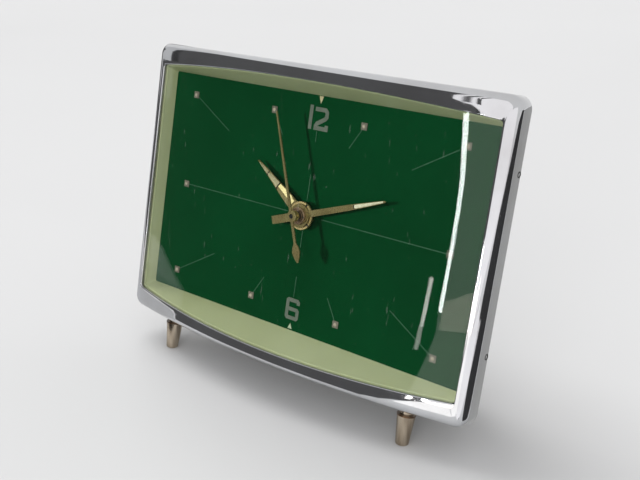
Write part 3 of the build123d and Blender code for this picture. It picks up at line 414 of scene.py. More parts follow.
def ribbon(bm, points, width, base, height):  # flat stroke with mitred corners
    spots = [Vector(point) for point in points]
    sides = []
    for index, spot in enumerate(spots):
        runs = []
        if index:
            runs.append((spot - spots[index - 1]).normalized())
        if index < len(spots) - 1:
            runs.append((spots[index + 1] - spot).normalized())
        normals = [Vector((-run.y, run.x)) for run in runs]
        mitre = sum(normals, Vector((0, 0))).normalized()
        sides.append(mitre * (width / 2 / mitre.dot(normals[0])))
    pair = [bm.verts.new((*(spots[0] + side), base)) for side in (sides[0], -sides[0])]
    edge = bm.edges.new(pair)
    faces = []
    for spot, side in zip(spots[1:], sides[1:]):
        grown = bmesh.ops.extrude_edge_only(bm, edges=[edge])["geom"]
        faces += [g for g in grown if isinstance(g, bmesh.types.BMFace)]
        fresh = {g for g in grown if isinstance(g, bmesh.types.BMVert)}
        for old in edge.verts:
            new = next(other.other_vert(old) for other in old.link_edges if other.other_vert(old) in fresh)
            new.tag = old is pair[0]
        pair = [next(v for v in fresh if v.tag), next(v for v in fresh if not v.tag)]
        pair[0].co = (*(spot + side), base)
        pair[1].co = (*(spot - side), base)
        edge = next(e for e in pair[0].link_edges if e.other_vert(pair[0]) is pair[1])
    thicken(bm, faces, height)


def blade(bm, stations, base, sheet, ridge):  # hand along +Y, with a raised middle
    verts = bmesh.ops.create_grid(bm, x_segments=2, y_segments=len(stations) - 1, size=1)["verts"]
    rows = sorted({round(vert.co.y, 4) for vert in verts})
    for vert in verts:
        along, half = stations[rows.index(round(vert.co.y, 4))]
        side = round(vert.co.x)
        vert.co = (side * half, along, base + sheet + (0 if side else ridge))
    for vert in grownVerts(bmesh.ops.extrude_face_region(bm, geom=facesOf(verts))):
        vert.co.z = base


def roundSpot(middle, radius, angle):
    return Vector(middle) + Vector((math.cos(math.radians(angle)), math.sin(math.radians(angle)))) * radius


# rim
rimForm = dict(
    width=142.34, height=96.0, corner=4.0, back=-2.8, sideFront=4.7, bulge=9.3, lip=0.5, wall=2.0,
    innerCorner=0.8, mouthCorner=1.0,
    rounds=((1, 2.5, 6), (2, 0.22, 4), (0, 0.35, 2)),  # ring, offset, segments
)
windowForm = dict(sight=(131.2, 77.6), mouth=(139.8, 87.0), crown=14.0, settleSteps=30)


def crown(across, inset=0.0):  # height of the bulged front, moved in by an inset
    radius = ((rimForm["width"] / 2) ** 2 + rimForm["bulge"] ** 2) / (2 * rimForm["bulge"])
    middle = rimForm["sideFront"] + rimForm["bulge"] - radius
    return middle + math.sqrt((radius - inset) ** 2 - across**2)


def windowSize(height):  # width and height of the drafted opening
    share = height / windowForm["crown"]
    return [low + (high - low) * share for low, high in zip(windowForm["sight"], windowForm["mouth"])]


def outlineStation(base, width, height, corner, depth):
    def place(homeX, homeY):
        x = drawnIn(homeX, base["width"], base["corner"], width, corner)
        y = drawnIn(homeY, base["height"], base["corner"], height, corner)
        return (x, y, depth(x) if callable(depth) else depth)

    return place


def windowWidth(inset):  # width at which the drafted opening meets a bulged sheet
    width = windowForm["sight"][0]
    for _ in range(windowForm["settleSteps"]):
        width = windowSize(crown(width / 2, inset))[0]
    return width


def windowStation(base, corner, inset, floorHeight=None):  # the opening on a bulged sheet, or on the dial
    width = windowWidth(inset) if floorHeight is None else windowSize(floorHeight)[0]

    def place(homeX, homeY):
        x = drawnIn(homeX, base["width"], base["corner"], width, corner)
        z = crown(x, inset) if floorHeight is None else floorHeight
        y = drawnIn(homeY, base["height"], base["corner"], windowSize(z)[1], corner)
        return (x, y, z)

    return place


def makeRim():
    form = rimForm
    outer = (form["width"], form["height"], form["corner"])
    inner = (form["width"] - 2 * form["wall"], form["height"] - 2 * form["wall"], form["innerCorner"])
    bm = bmesh.new()
    ring = ringStack(bm, form, (
        outlineStation(form, *outer, form["back"]),
        outlineStation(form, *outer, crown),
        windowStation(form, form["mouthCorner"], 0),
        windowStation(form, form["mouthCorner"], form["lip"]),
        outlineStation(form, *inner, lambda x: crown(x, form["lip"])),
        outlineStation(form, *inner, form["back"]),
    ))
    for index, offset, segments in form["rounds"]:
        roundEdges(bm, ringEdges(bm, ring, index), offset, segments)
    finishPiece(bm, "rimBand", finishes["chrome"], replaced=("rim",), smoothAngle=40)


makeRim()

# side screws, their heads level with the rim
screwForm = dict(
    rise=26.5, depth=1.7, face=71.2,
    head=((0, -0.3), (0.95, -0.3), (0.95, -0.03), (0.92, 0), (0.62, 0), (0.5, -0.14), (0, -0.14)),
)


def addTurned(bm, profile, place, steps=24):  # a turned form added to a mesh at a place
    form = bmesh.new()
    turned(form, profile, steps)
    bmesh.ops.transform(form, matrix=place, verts=form.verts)
    spare = bpy.data.meshes.new("spare")
    form.to_mesh(spare)
    form.free()
    bm.from_mesh(spare)
    bpy.data.meshes.remove(spare)


def makeScrews():
    bm = bmesh.new()
    for side in (-1, 1):
        for rise in (-1, 1):
            spot = Vector((side * screwForm["face"], rise * screwForm["rise"], -screwForm["depth"]))
            turn = Vector((side, 0, 0)).to_track_quat("Z", "Y").to_matrix().to_4x4()
            addTurned(bm, screwForm["head"], Matrix.Translation(spot) @ turn)
    # the heads take the near-black shadow-gap finish: painted shade
    finishPiece(bm, "sideScrewHeads", shadowGapFinish, replaced=("cover_screws",))


makeScrews()

# lens, insert
lensForm = dict(width=138.1, height=91.7, inset=0.55, thick=1.0, columns=96, rows=24)
insertForm = dict(
    width=138.1, height=91.7, corner=0.8, inset=1.6, sightCorner=0.6, frontRound=0.25, roundSteps=4,
)


def makeLens():
    form = lensForm
    bm = bmesh.new()
    verts = bmesh.ops.create_grid(bm, x_segments=form["columns"], y_segments=form["rows"], size=1)["verts"]
    for vert in verts:
        x, y = vert.co.x * form["width"] / 2, vert.co.y * form["height"] / 2
        vert.co = (x, y, crown(x, form["inset"]))
    for vert in grownVerts(bmesh.ops.extrude_face_region(bm, geom=bm.faces[:])):
        vert.co.z = crown(vert.co.x, form["inset"] + form["thick"])
    finish = finishes["clear_acrylic"]
    finishPiece(bm, "lensSheet", finish, replaced=("lens",), smoothAngle=40)


def makeInsert():
    form = insertForm
    bm = bmesh.new()
    outer = (form["width"], form["height"], form["corner"])
    ring = ringStack(bm, form, (
        outlineStation(form, *outer, 0.0),
        outlineStation(form, *outer, lambda x: crown(x, form["inset"])),
        windowStation(form, form["sightCorner"], form["inset"]),
        windowStation(form, form["sightCorner"], form["inset"], 0.0),
    ))
    roundEdges(bm, ringEdges(bm, ring, 2), form["frontRound"], form["roundSteps"])
    finish = finishes["cream_plastic"]
    finishPiece(bm, "creamInsert", finish, replaced=("dial_insert",), smoothAngle=50)


makeLens()
makeInsert()
print("case front done")

# dial print: markers, hairlines, numerals and the two small pointers
dialPrint = dict(
    lift=0.01, sheet=0.05, markerSize=2.3, markerHeight=0.22, markerRound=0.08, markerSteps=2, hairline=0.3,
    dotRadius=0.62, dotRise=0.18, dotSteps=16, dotShape=((0, 0), (1, 0), (0.9, 0.6), (0.55, 1), (0, 1.1)),
    columnsAt=(18.33, 55.0), rowAt=31.75, longTickEnd=(37.6, 21.7), shortTickEnd=(13.7, 24.2), tickGap=1.2,
    sideLineEnd=7.0,
    middleLines=(
        ((0.25, 27.4), (0.25, 24.0)), ((0.25, 13.5), (0.1, 4.9)), ((0.0, -5.0), (0.0, -10.8)),
        ((0.1, -20.6), (0.05, -27.5)),
    ),
)
numeralForm = dict(
    stroke=1.35, one=((-2.95, 35.5), (-2.95, 27.8)),
    two=(
        (-1.35, 34.45), (2.75, 34.45), (3.45, 33.75), (3.45, 32.3), (2.9, 31.6), (-0.1, 29.9), (-0.6, 29.2),
        (-0.6, 28.45), (3.75, 28.45), (3.75, 29.7),
    ),
    sixLeft=-2.0, sixRight=2.4, sixTop=-28.65, sixBottom=-34.65, sixMiddle=-31.7, sixEnd=-29.9, sixRound=0.35,
    sixStrokeShare=0.95,
)
pointerForm = dict(
    half=0.9, sheet=0.1,
    rows=(("topPointer", agedLumeFinish, 36.3, 38.6, 0.4), ("lowPointer", lumeFinish, -36.4, -38.3, 0.2)),
)


def markerSpots():
    (near, wide), tall = dialPrint["columnsAt"], dialPrint["rowAt"]
    spots = [(side * column, end * tall) for column in (near, wide) for side in (-1, 1) for end in (-1, 1)]
    return spots + [(-wide, 0), (wide, 0)]


def makeMarkers():
    bm = bmesh.new()
    half = dialPrint["markerSize"] / 2
    for x, y in markerSpots():
        thicken(bm, facesOf(plate(bm, half, half, x, y)), dialPrint["markerHeight"])
    top = [edge for edge in bm.edges if min(v.co.z for v in edge.verts) > dialPrint["markerHeight"] / 2]
    roundEdges(bm, top, dialPrint["markerRound"], dialPrint["markerSteps"])
    finishPiece(bm, "hourMarkers", markerFinish)
    bm = bmesh.new()
    base = dialPrint["markerHeight"] - dialPrint["lift"]
    rise, radius = dialPrint["dotRise"], dialPrint["dotRadius"]
    profile = [(radius * across, base + rise * height) for across, height in dialPrint["dotShape"]]
    for x, y in markerSpots():
        addTurned(bm, profile, Matrix.Translation((x, y, 0)), dialPrint["dotSteps"])
    finishPiece(bm, "lumeDots", dotFinish)


def makeHairlines():
    form = dialPrint
    near, wide = form["columnsAt"]
    tall, reach = form["rowAt"], form["markerSize"] / 2
    lines = []
    for side in (-1, 1):
        lines.append(((side * (wide - reach), 0), (side * form["sideLineEnd"], 0)))
        for end in (-1, 1):
            for start, stop in (((wide, tall), form["longTickEnd"]), ((near, tall), form["shortTickEnd"])):
                run = (Vector(stop) - Vector(start)).normalized()
                first = Vector(start) + run * reach * form["tickGap"]
                lines.append(((side * first.x, end * first.y), (side * stop[0], end * stop[1])))
    bm = bmesh.new()
    for line in (*lines, *form["middleLines"]):
        ribbon(bm, line, form["hairline"], form["lift"], form["sheet"])
    finishPiece(bm, "dialHairlines", hairlineFinish)


def sixLine():
    form = numeralForm
    left, right, middle, soft = form["sixLeft"], form["sixRight"], form["sixMiddle"], form["sixRound"]
    top, bottom = form["sixTop"], form["sixBottom"]
    return (
        (right, form["sixEnd"]), (right, top - soft), (right - soft, top), (left + soft, top),
        (left, top - soft), (left, bottom + soft), (left + soft, bottom), (right - soft, bottom),
        (right, bottom + soft), (right, middle - soft), (right - soft, middle),
        (left + form["stroke"] / 2, middle),
    )


def makeNumerals():
    form = numeralForm
    lift, sheet = dialPrint["lift"], dialPrint["sheet"]
    bm = bmesh.new()
    ribbon(bm, form["one"], form["stroke"], lift, sheet)
    ribbon(bm, form["two"], form["stroke"], lift, sheet)
    ribbon(bm, sixLine(), form["stroke"] * form["sixStrokeShare"], lift, sheet)
    finishPiece(bm, "dialNumerals", numeralFinish)
    half = pointerForm["half"]
    for name, finish, tip, back, across in pointerForm["rows"]:
        bm = bmesh.new()
        corners = ((across, tip), (across - half, back), (across + half, back))
        verts = [bm.verts.new((*corner, lift)) for corner in corners]
        thicken(bm, [bm.faces.new(verts)], pointerForm["sheet"])
        finishPiece(bm, name, finish)


makeMarkers()
makeHairlines()
makeNumerals()
print("dial print done")

# hands: heights above the dial and lengths from the middle; angles go clockwise from the top
handForm = dict(lumeSink=0.05, lumeSheet=0.12, lift=0.03, hubSteps=64, smoothAngle=25)
hourForm = dict(
    angle=304.5, base=1.4, sheet=0.4, ridge=0.5, hub=4.6, bore=2.82, hubLow=1.4, collar=0.5, chamfer=0.18,
    blade=((2.9, 2.0), (6.4, 1.9), (9.5, 1.78), (14.0, 1.3), (19.5, 0.85), (24.2, 0.34), (25.5, 0.17)),
    lume=((13.7, 1.14), (15.0, 1.04), (19.5, 0.68), (24.4, 0.24)),
    facet=((5.2, 1.75), (9.5, 1.6), (13.2, 1.24)), facetInner=0.12,
    lines=((13.45, 1.25, 0.28), (19.4, 0.8, 0.2)),
    rim=(4.6, 3.95), rimSink=0.1, rimRise=0.06, rimChamfer=0.05,
    slits=(-36.0, 62.0), slitInner=0.05, slitOuter=0.02, slitWidth=0.6, slitSheet=0.08,
)
minuteForm = dict(
    angle=70.9, base=2.7, sheet=0.4, ridge=0.14, hub=3.8, bore=2.12, hubLow=2.7, collar=0.0, chamfer=0.1,
    blade=((2.2, 1.05), (12.0, 0.98), (20.4, 0.9), (28.0, 0.62), (33.0, 0.4), (34.0, 0.21)),
    lume=((22.4, 0.58), (25.0, 0.52), (28.0, 0.42), (33.2, 0.24)), lines=((22.2, 0.66, 0.22),),
    tail=((-2.2, 1.35), (-6.0, 1.35), (-11.3, 1.35), (-11.5, 1.2)), tailRidge=0.0,
)
nutForm = dict(
    base=3.1, height=0.9, radius=2.8, bore=2.12, chamfer=0.2,
    slits=(0.0, 180.0), slitHalf=0.3, slitWidth=0.6, slitSink=0.02, slitSheet=0.03,
)
secondForm = dict(
    angle=340.0, base=6.6, sheet=0.4, ridge=0.06, hub=1.8, bore=0.36, hubLow=5.0, collar=-0.02, chamfer=0.15,
    blade=((1.2, 0.5), (12.0, 0.44), (24.0, 0.34), (33.6, 0.26), (34.0, 0.2)),
    tail=((-1.2, 0.51), (-8.7, 0.45), (-9.9, 1.12), (-11.4, 1.6), (-13.2, 1.15), (-14.6, 0.45),
          (-15.0, 0.19)), tailRidge=0.06,
)


def turnHand(bm, angle):
    bmesh.ops.rotate(bm, cent=(0, 0, 0), matrix=Matrix.Rotation(-math.radians(angle), 3, "Z"), verts=bm.verts)


def hubRing(bm, radius, bore, low, high, chamfer):
    turned(bm, (
        (bore, low), (radius, low), (radius, high - chamfer), (radius - chamfer, high),
        (bore + chamfer, high), (bore, high - chamfer),
    ), handForm["hubSteps"], closed=True)


def hubTop(form):
    return form["base"] + form["sheet"] + form["collar"]


def makeHand(form, name, body, node):
    bm = bmesh.new()
    blade(bm, form["blade"], form["base"], form["sheet"], form["ridge"])
    if "tail" in form:
        blade(bm, form["tail"], form["base"], form["sheet"], form["tailRidge"])
    turnHand(bm, form["angle"])
    hubRing(bm, form["hub"], form["bore"], form["hubLow"], hubTop(form), form["chamfer"])
    finishPiece(bm, name, finishes["gilt"], body, (node,), handForm["smoothAngle"])


def makeLume(form, name, finish, body):
    bm = bmesh.new()
    base = form["base"] + form["sheet"] - handForm["lumeSink"]
    blade(bm, form["lume"], base, handForm["lumeSheet"], form["ridge"])
    turnHand(bm, form["angle"])
    finishPiece(bm, name, finish, body)


def makeLines(form, name, body):  # dark lines across a hand, in the shadow-gap finish: painted shade
    bm = bmesh.new()
    for along, half, width in form["lines"]:
        line = ((-half, along), (half, along))
        ribbon(bm, line, width, form["base"] + form["sheet"], form["ridge"] + handForm["lift"])
    turnHand(bm, form["angle"])
    finishPiece(bm, name, shadowGapFinish, body)


def makeSlits(form, name, body, inner, outer, base):  # dark ribbons from one radius to another: painted shade standing for slits
    bm = bmesh.new()
    for angle in form["slits"]:
        line = [roundSpot((0, 0), radius, angle) for radius in (inner, outer)]
        ribbon(bm, line, form["slitWidth"], base, form["slitSheet"])
    finishPiece(bm, name, shadowGapFinish, body)


def makeFacet(form):  # the bright half of the hour hand's root, in a paler and less metallic gilt: painted highlight
    bm = bmesh.new()
    lift = handForm["lift"]
    rows = [((form["facetInner"], along), (half, along)) for along, half in form["facet"]]
    slope = form["ridge"] / rows[0][1][0]
    crest = form["base"] + form["sheet"] + lift + form["ridge"]
    verts = [[bm.verts.new((x, y, crest - slope * x)) for x, y in row] for row in rows]
    faces = [bm.faces.new((low[0], low[1], high[1], high[0])) for low, high in zip(verts, verts[1:])]
    thicken(bm, faces, -lift)
    turnHand(bm, form["angle"])
    finishPiece(bm, "hourHandFacet", highlightFacetFinish, "hour_work")


def makeHourHand():
    form = hourForm
    makeHand(form, "hourHandGilt", "hour_work", "hour_hand")
    makeLume(form, "hourHandLume", agedLumeFinish, "hour_work")
    makeFacet(form)
    makeLines(form, "hourHandLines", "hour_work")
    bm = bmesh.new()
    top = hubTop(form)
    # the hub's rim takes the paler gilt: painted highlight
    outer, inner = form["rim"]
    hubRing(bm, outer, inner, top - form["rimSink"], top + form["rimRise"], form["rimChamfer"])
    finishPiece(bm, "hourHubRim", rimHighlightFinish, "hour_work", smoothAngle=handForm["smoothAngle"])
    inner, outer = inner - form["slitInner"], outer + form["slitOuter"]
    makeSlits(form, "hourHubSlits", "hour_work", inner, outer, top)


def makeHandNut():
    form = nutForm
    bm = bmesh.new()
    top, middle = form["base"] + form["height"], (form["radius"] + form["bore"]) / 2
    hubRing(bm, form["radius"], form["bore"], form["base"], top, form["chamfer"])
    angle = handForm["smoothAngle"]
    # the nut ring takes the darker bronze: painted shade
    finishPiece(bm, "handNutRing", shadedBronzeFinish, "minute_work", ("hand_nut",), angle)
    inner, outer = middle - form["slitHalf"], middle + form["slitHalf"]
    makeSlits(form, "handNutSlits", "minute_work", inner, outer, top - form["slitSink"])


makeHourHand()
makeHand(minuteForm, "minuteHandGilt", "minute_work", "minute_hand")
makeLume(minuteForm, "minuteHandLume", paleLumeFinish, "minute_work")
makeLines(minuteForm, "minuteHandLine", "minute_work")
makeHandNut()
makeHand(secondForm, "secondHandGilt", "seconds_work", "second_hand")
print("hands done")

# feet
footForm = dict(
    across=50.7, forward=2.5, length=11.9, neck=2.1, neckLength=2.0, neckRound=0.1, top=2.9, shoulder=0.2,
    tip=2.05, tipRound=0.7, tipFlare=0.06, tipSteps=6, steps=40, smoothAngle=28, rearDepth=27.0, soleCut=0.4,
    ringWidth=0.5, ringProud=0.05, ringLow=0.05, ringHigh=0.5, ringChamfer=0.12,
)
panForm = dict(halfHeight=45.85, backHalfHeight=36.0, skirtBack=4.8, back=31.8)


def footProfile(length):
    form = footForm
    neck, low, top, shoulder = form["neck"], form["neckLength"], form["top"], form["shoulder"]
    taper = [(0, 0), (neck, 0), (neck, low - form["neckRound"]), (top - shoulder, low), (top, low + shoulder)]
    steps, soft = form["tipSteps"], form["tipRound"]
    for step in range(steps + 1):
        angle = math.pi / 2 * step / steps
        radius = form["tip"] - soft * (1 - math.cos(angle)) + form["tipFlare"] * (1 - step / steps)
        taper.append((radius, length - soft * (1 - math.sin(angle))))
    return taper + [(0, length)]


def makeFoot(name, node, root, direction, length):
    form = footForm
    place = Matrix.Translation(root) @ Vector(direction).to_track_quat("Z", "X").to_matrix().to_4x4()
    bm = bmesh.new()
    turned(bm, footProfile(length), form["steps"])
    finishPiece(
        bm, name, finishes["foot_nickel"], replaced=(node,), smoothAngle=form["smoothAngle"],
        place=place, onFloor=True
    )
    bm = bmesh.new()
    low, high = form["neckLength"] - form["ringLow"], form["neckLength"] + form["ringHigh"]
    outer, inner = form["top"] + form["ringProud"], form["top"] - form["ringWidth"]
    hubRing(bm, outer, inner, low, high, form["ringChamfer"])
    finishPiece(bm, name + "Ring", patinaFinish, smoothAngle=form["smoothAngle"], place=place)


def makeFeet():
    form, pan = footForm, panForm
    fronts = ((-1, "frontFootLeft", "front_foot_left"), (1, "frontFootRight", "front_foot_right"))
    for side, name, node in fronts:
        root = (side * form["across"], -rimForm["height"] / 2, form["forward"])
        makeFoot(name, node, root, (0, -1, 0), form["length"])
    slope = math.atan2(pan["halfHeight"] - pan["backHalfHeight"], pan["back"] - pan["skirtBack"])
    drop = pan["halfHeight"] - (form["rearDepth"] - pan["skirtBack"]) * math.tan(slope)
    root = Vector((0, -drop, -form["rearDepth"]))
    direction = Vector((0, -math.cos(slope), -math.sin(slope)))
    down = (toRow.to_3x3() @ direction).z / dialPlace["millimetre"]
    length = ((toRow @ root).z / dialPlace["millimetre"] + form["soleCut"]) / -down
    makeFoot("rearFootPeg", "rear_foot", root, direction, length)


makeFeet()
print("feet done")

# plain marks pressed into the back: which way to turn, slower and faster
markForm = dict(
    back=-31.84, sheet=0.06, stroke=0.55, head=1.5, arcFrom=62.0, arcTo=118.0, arcSteps=14,
    turns=(((-24.6, 0.0), 13.5), ((2.43, -13.79), 8.2)),
    slotMiddle=(32.45, -7.98), slotRadius=12.0, slotAngle=35.0, slotEnd=31.0, signHalf=1.2,
)


def makeMarks():
    form = markForm
    base, sheet, stroke = form["back"], form["sheet"], form["stroke"]
    bm = bmesh.new()
    for middle, radius in form["turns"]:
        span = form["arcTo"] - form["arcFrom"]
        angles = [form["arcFrom"] + span * step / form["arcSteps"] for step in range(form["arcSteps"] + 1)]
        ribbon(bm, [roundSpot(middle, radius, angle) for angle in angles], stroke, base, sheet)
        lead = math.degrees(2 * form["head"] / radius)
        corners = [
            roundSpot(middle, radius, form["arcTo"] + lead),
            roundSpot(middle, radius - form["head"] / 2 - stroke, form["arcTo"]),
            roundSpot(middle, radius + form["head"] / 2 + stroke, form["arcTo"]),
        ]
        thicken(bm, [bm.faces.new([bm.verts.new((*corner, base)) for corner in corners])], sheet)
    half = form["signHalf"]
    for side in (-1, 1):
        spot = roundSpot(form["slotMiddle"], form["slotRadius"], form["slotAngle"] + side * form["slotEnd"])
        ribbon(bm, (spot - Vector((half, 0)), spot + Vector((half, 0))), stroke, base, sheet)
        if side > 0:
            for end in (-1, 1):
                line = (spot + Vector((0, end * stroke / 2)), spot + Vector((0, end * half)))
                ribbon(bm, line, stroke, base, sheet)
    finishPiece(bm, "coverMarks", patinaFinish)


makeMarks()
print("back marks done")

# studio: floor, lamps and cards that only polished faces see
studio = dict(
    floorSize=5.0, floorTone=(0.62, 0.62, 0.62, 1), floorBounce=(0.22, 0.22, 0.22, 1), floorDim=0.985,
    floorScale=3, floorBand=(0.3, 0.7), floorRough=0.9, floorLevel=0.1,
    horizonTone=(0.42, 0.42, 0.425, 1), horizonAt=0.05, zenithTone=(0.82, 0.82, 0.83, 1), zenithAt=0.75,
    backdropTone=(0.8, 0.8, 0.8, 1), cardHeight=0.001,
)
lamps = dict(  # azimuth, elevation, strength and angle of soft suns
    key=(-41.5, 6.0, 4.0, 3.6), top=(-108.0, 48.0, 2.1, 50.0), fill=(22.0, 14.0, 1.25, 43.0),
    insert=(-80.0, 1.0, 2.6, 12.0),
)
glows = dict(  # colour and strength of the cards
    dark=((0.97, 0.97, 1, 1), 0.055), black=((0.6, 0.6, 1, 1), 0.004), deep=((0.97, 0.97, 1, 1), 0.028),
    middle=((1, 1, 0.98, 1), 0.42), grey=((0.98, 0.99, 1, 1), 0.58), pale=((1, 0.98, 0.99, 1), 1.2),
    light=((1, 0.98, 0.96, 1), 1.45), warm=((1, 0.9, 0.84, 1), 3.2), bright=((0.95, 1.0, 0.99, 1), 24.0),
    soft=((1.0, 0.95, 0.92, 1), 11.0), faint=((1.0, 0.95, 0.92, 1), 5.0),
)
wall = dict(  # cards on an upright wall: metres along it and up; steps bring a card nearer
    distance=0.7, azimuth=-40.0, top=0.85, left=-0.62, right=2.5, cornerLeft=-1.1,
    darkEdge=((-0.455, 0.088), (-0.505, 0.27), (-0.65, 0.5), (-0.8, 0.85)), barWidth=0.042, barStep=0.004,
    streak=((0.541, 0.262), (0.556, 0.22), (0.57, 0.177), (0.575, 0.11), (0.572, 0.022)), streakStep=0.008,
    streakWidth=(0.021, 0.014, 0.014), streakTop=(0.487, 0.31),
    topStrips=((0.519, 0.55), (0.572, 0.59)), stripLow=0.29, stripStep=0.005,
    glint=((0.522, 0.06), (0.519, 0.033), (0.516, 0.0)), glintWidth=(0.013, 0.012), glintStep=0.006,
    low=((0.58, 0.0), (0.85, 0.0), (0.85, 0.08), (0.586, 0.035)), lowStep=0.003,
)
floorCards = dict(  # cards just above the floor: tone and corners
    darkCardFloor=("dark", (
        (-0.126, -0.078), (-0.185, -0.11), (-0.29, -0.117), (-0.42, -0.06), (-0.8, 0.0), (-0.95, -0.1),
        (-0.92, -0.15), (-0.009, -0.906), (0.033, -0.167), (0.031, -0.048), (-0.074, -0.046),
    )),
    lightCardFloor=("light", ((0.036, -0.1), (0.034, -0.167), (-0.005, -0.9), (0.09, -0.9), (0.072, -0.1))),
    paleCardFloor=("pale", ((0.074, -0.1), (0.092, -0.9), (0.7, -0.9), (0.3, -0.1))),
    greyCardFloor=("grey", (
        (-0.066, -0.04), (-0.12, -0.073), (-0.178, -0.1), (-0.19, -0.085), (-0.26, -0.06), (-0.4, -0.04),
        (-0.4, 0.05), (-0.066, 0.02),
    )),
    darkCardRight=("deep", ((0.085, -0.03), (0.5, -0.33), (1.3, -0.5), (1.3, 1.2), (0.55, 0.72))),
    middleCardBack=("middle", (
        (0.074, -0.02), (0.096, 0.0), (0.54, 0.74), (0.54, 1.8), (-0.3, 1.8), (-0.1, 0.1),
    )),
)
floorGlint = dict(
    line=((-0.0547, -0.868), (-0.017, -0.576), (-0.003, -0.45)), width=(0.012, 0.006), height=0.002,
)
sideCards = dict(  # tone, two feet of an upright card and its height
    darkCardLeft=("dark", (-0.8, -0.1), (-0.8, 0.7), 0.25),
    paleCardRight=("pale", (1.465, -2.143), (1.9, -0.5), 0.7),
)


def glowFinish(name, colour, strength):
    finish, tree, _, output = newFinish(name)
    glow = tree.nodes.new("ShaderNodeEmission")
    setInputs(glow, {"Color": colour, "Strength": strength})
    tree.links.new(glow.outputs["Emission"], output.inputs["Surface"])
    return finish


def toneChoice(tree, choice, first, second):  # a linked colour, or a plain one where the choice is 1
    tone = tree.nodes.new("ShaderNodeMix")
    tone.data_type = "RGBA"
    tree.links.new(choice, tone.inputs[0])
    tree.links.new(first, tone.inputs[6])
    tone.inputs[7].default_value = second
    return tone.outputs[2]


def floorFinish():  # seen and mirrored pale, with a dimmer bounce
    finish, tree, shader, _ = newFinish("floorPaper")
    path = tree.nodes.new("ShaderNodeLightPath")
    pale = studio["floorTone"]
    dim = tuple(part * studio["floorDim"] for part in pale[:3]) + (1,)
    low, high = studio["floorBand"]
    paper = tones(tree, cloud(tree, studio["floorScale"], detail=2), ((low, dim), (high, pale)))
    tone = toneChoice(tree, path.outputs["Is Diffuse Ray"], paper, studio["floorBounce"])
    tree.links.new(tone, shader.inputs["Base Color"])
    setInputs(shader, {"Roughness": studio["floorRough"], "Specular IOR Level": studio["floorLevel"]})
    return finish


def stageSheet(name, corners, finish, cardOnly=True):
    bm = bmesh.new()
    bm.faces.new([bm.verts.new(corner) for corner in corners])
    mesh = bpy.data.meshes.new(name)
    bm.to_mesh(mesh)
    bm.free()
    mesh.materials.append(finish)
    sheet = bpy.data.objects.new(name, mesh)
    scene.collection.objects.link(sheet)
    if cardOnly:
        sheet.visible_camera = False
        sheet.visible_diffuse = False
        sheet.visible_shadow = False


def card(name, finish, spots, nearer=0.0):
    turn = math.radians(wall["azimuth"])
    outward = Vector((math.sin(turn), -math.cos(turn), 0))
    sideways = Vector((math.cos(turn), math.sin(turn), 0))
    foot = outward * wall["distance"]
    shift = foot.normalized() * -nearer
    corners = [foot + sideways * along + Vector((0, 0, height)) + shift for along, height in spots]
    stageSheet(name, corners, finish)


def runsAlong(spots):  # from the point before to the point after, at each point
    return [after - before for before, after in zip([spots[0]] + spots[:-1], spots[1:] + [spots[-1]])]


def smoothLine(points, steps=6):  # a soft curve through a few points
    spots = [Vector(point) for point in points]
    handles = [run / 6 for run in runsAlong(spots)]  # a sixth keeps the curve even
    line = []
    for first, second, leave, arrive in zip(spots, spots[1:], handles, handles[1:]):
        knots = (first, first + leave, second - arrive, second)
        line += interpolate_bezier(*[knot.to_3d() for knot in knots], steps)[:-1]
    return [Vector(spot[:2]) for spot in line] + [spots[-1]]


def stripSides(points, widths):  # both sides of a tapering band along a line, as one outline
    spots = smoothLine(points)
    runs = [run.normalized() for run in runsAlong(spots)]
    last = len(spots) - 1
    halves = [(widths[0] + (widths[1] - widths[0]) * index / last) / 2 for index in range(last + 1)]
    sides = [Vector((-run.y, run.x)) * half for run, half in zip(runs, halves)]
    near = [spot + side for spot, side in zip(spots, sides)]
    far = [spot - side for spot, side in zip(spots, sides)]
    return near + far[::-1]


def makeWall(glow):
    top, left, right = wall["top"], wall["left"], wall["right"]
    border = [(wall["streakTop"][0], top), wall["streakTop"]] + smoothLine(wall["streak"])
    edge = list(wall["darkEdge"])
    low, foot = edge[0][1], border[-1][0]
    card("darkCardWall", glow["dark"], [(left, 0), (foot, 0)] + border[::-1] + edge[::-1] + [(left, low)])
    card("paleCardWall", glow["pale"], [(foot, 0), (right, 0), (right, top)] + border)
    card("warmCardLow", glow["warm"], wall["low"], wall["lowStep"])
    card("greyCardCorner", glow["grey"], [(wall["cornerLeft"], low)] + edge + [(wall["cornerLeft"], top)])
    bar = edge + [(along + wall["barWidth"], height) for along, height in edge[::-1]]
    card("blackCardBar", glow["black"], bar, wall["barStep"])
    for index, (start, end) in enumerate(wall["topStrips"]):
        base = wall["stripLow"]
        corners = ((start, base), (end, base), (end, top), (start, top))
        card("darkCardStrip%d" % index, glow["dark"], corners, wall["stripStep"])
    streak, widths = wall["streak"], wall["streakWidth"]
    card("brightStripTop", glow["bright"], stripSides(streak[:4], widths[:2]), wall["streakStep"])
    card("brightStripLow", glow["bright"], stripSides(streak[3:], widths[1:]), wall["streakStep"])
    card("softStrip", glow["soft"], stripSides(wall["glint"], wall["glintWidth"]), wall["glintStep"])


def makeGround(glow):
    for name, (tone, spots) in floorCards.items():
        stageSheet(name, [(*spot, studio["cardHeight"]) for spot in spots], glow[tone])
    strip = stripSides(floorGlint["line"], floorGlint["width"])
    stageSheet("faintStripFloor", [(*spot, floorGlint["height"]) for spot in strip], glow["faint"])
    for name, (tone, first, second, height) in sideCards.items():
        stageSheet(name, [(*first, 0), (*second, 0), (*second, height), (*first, height)], glow[tone])


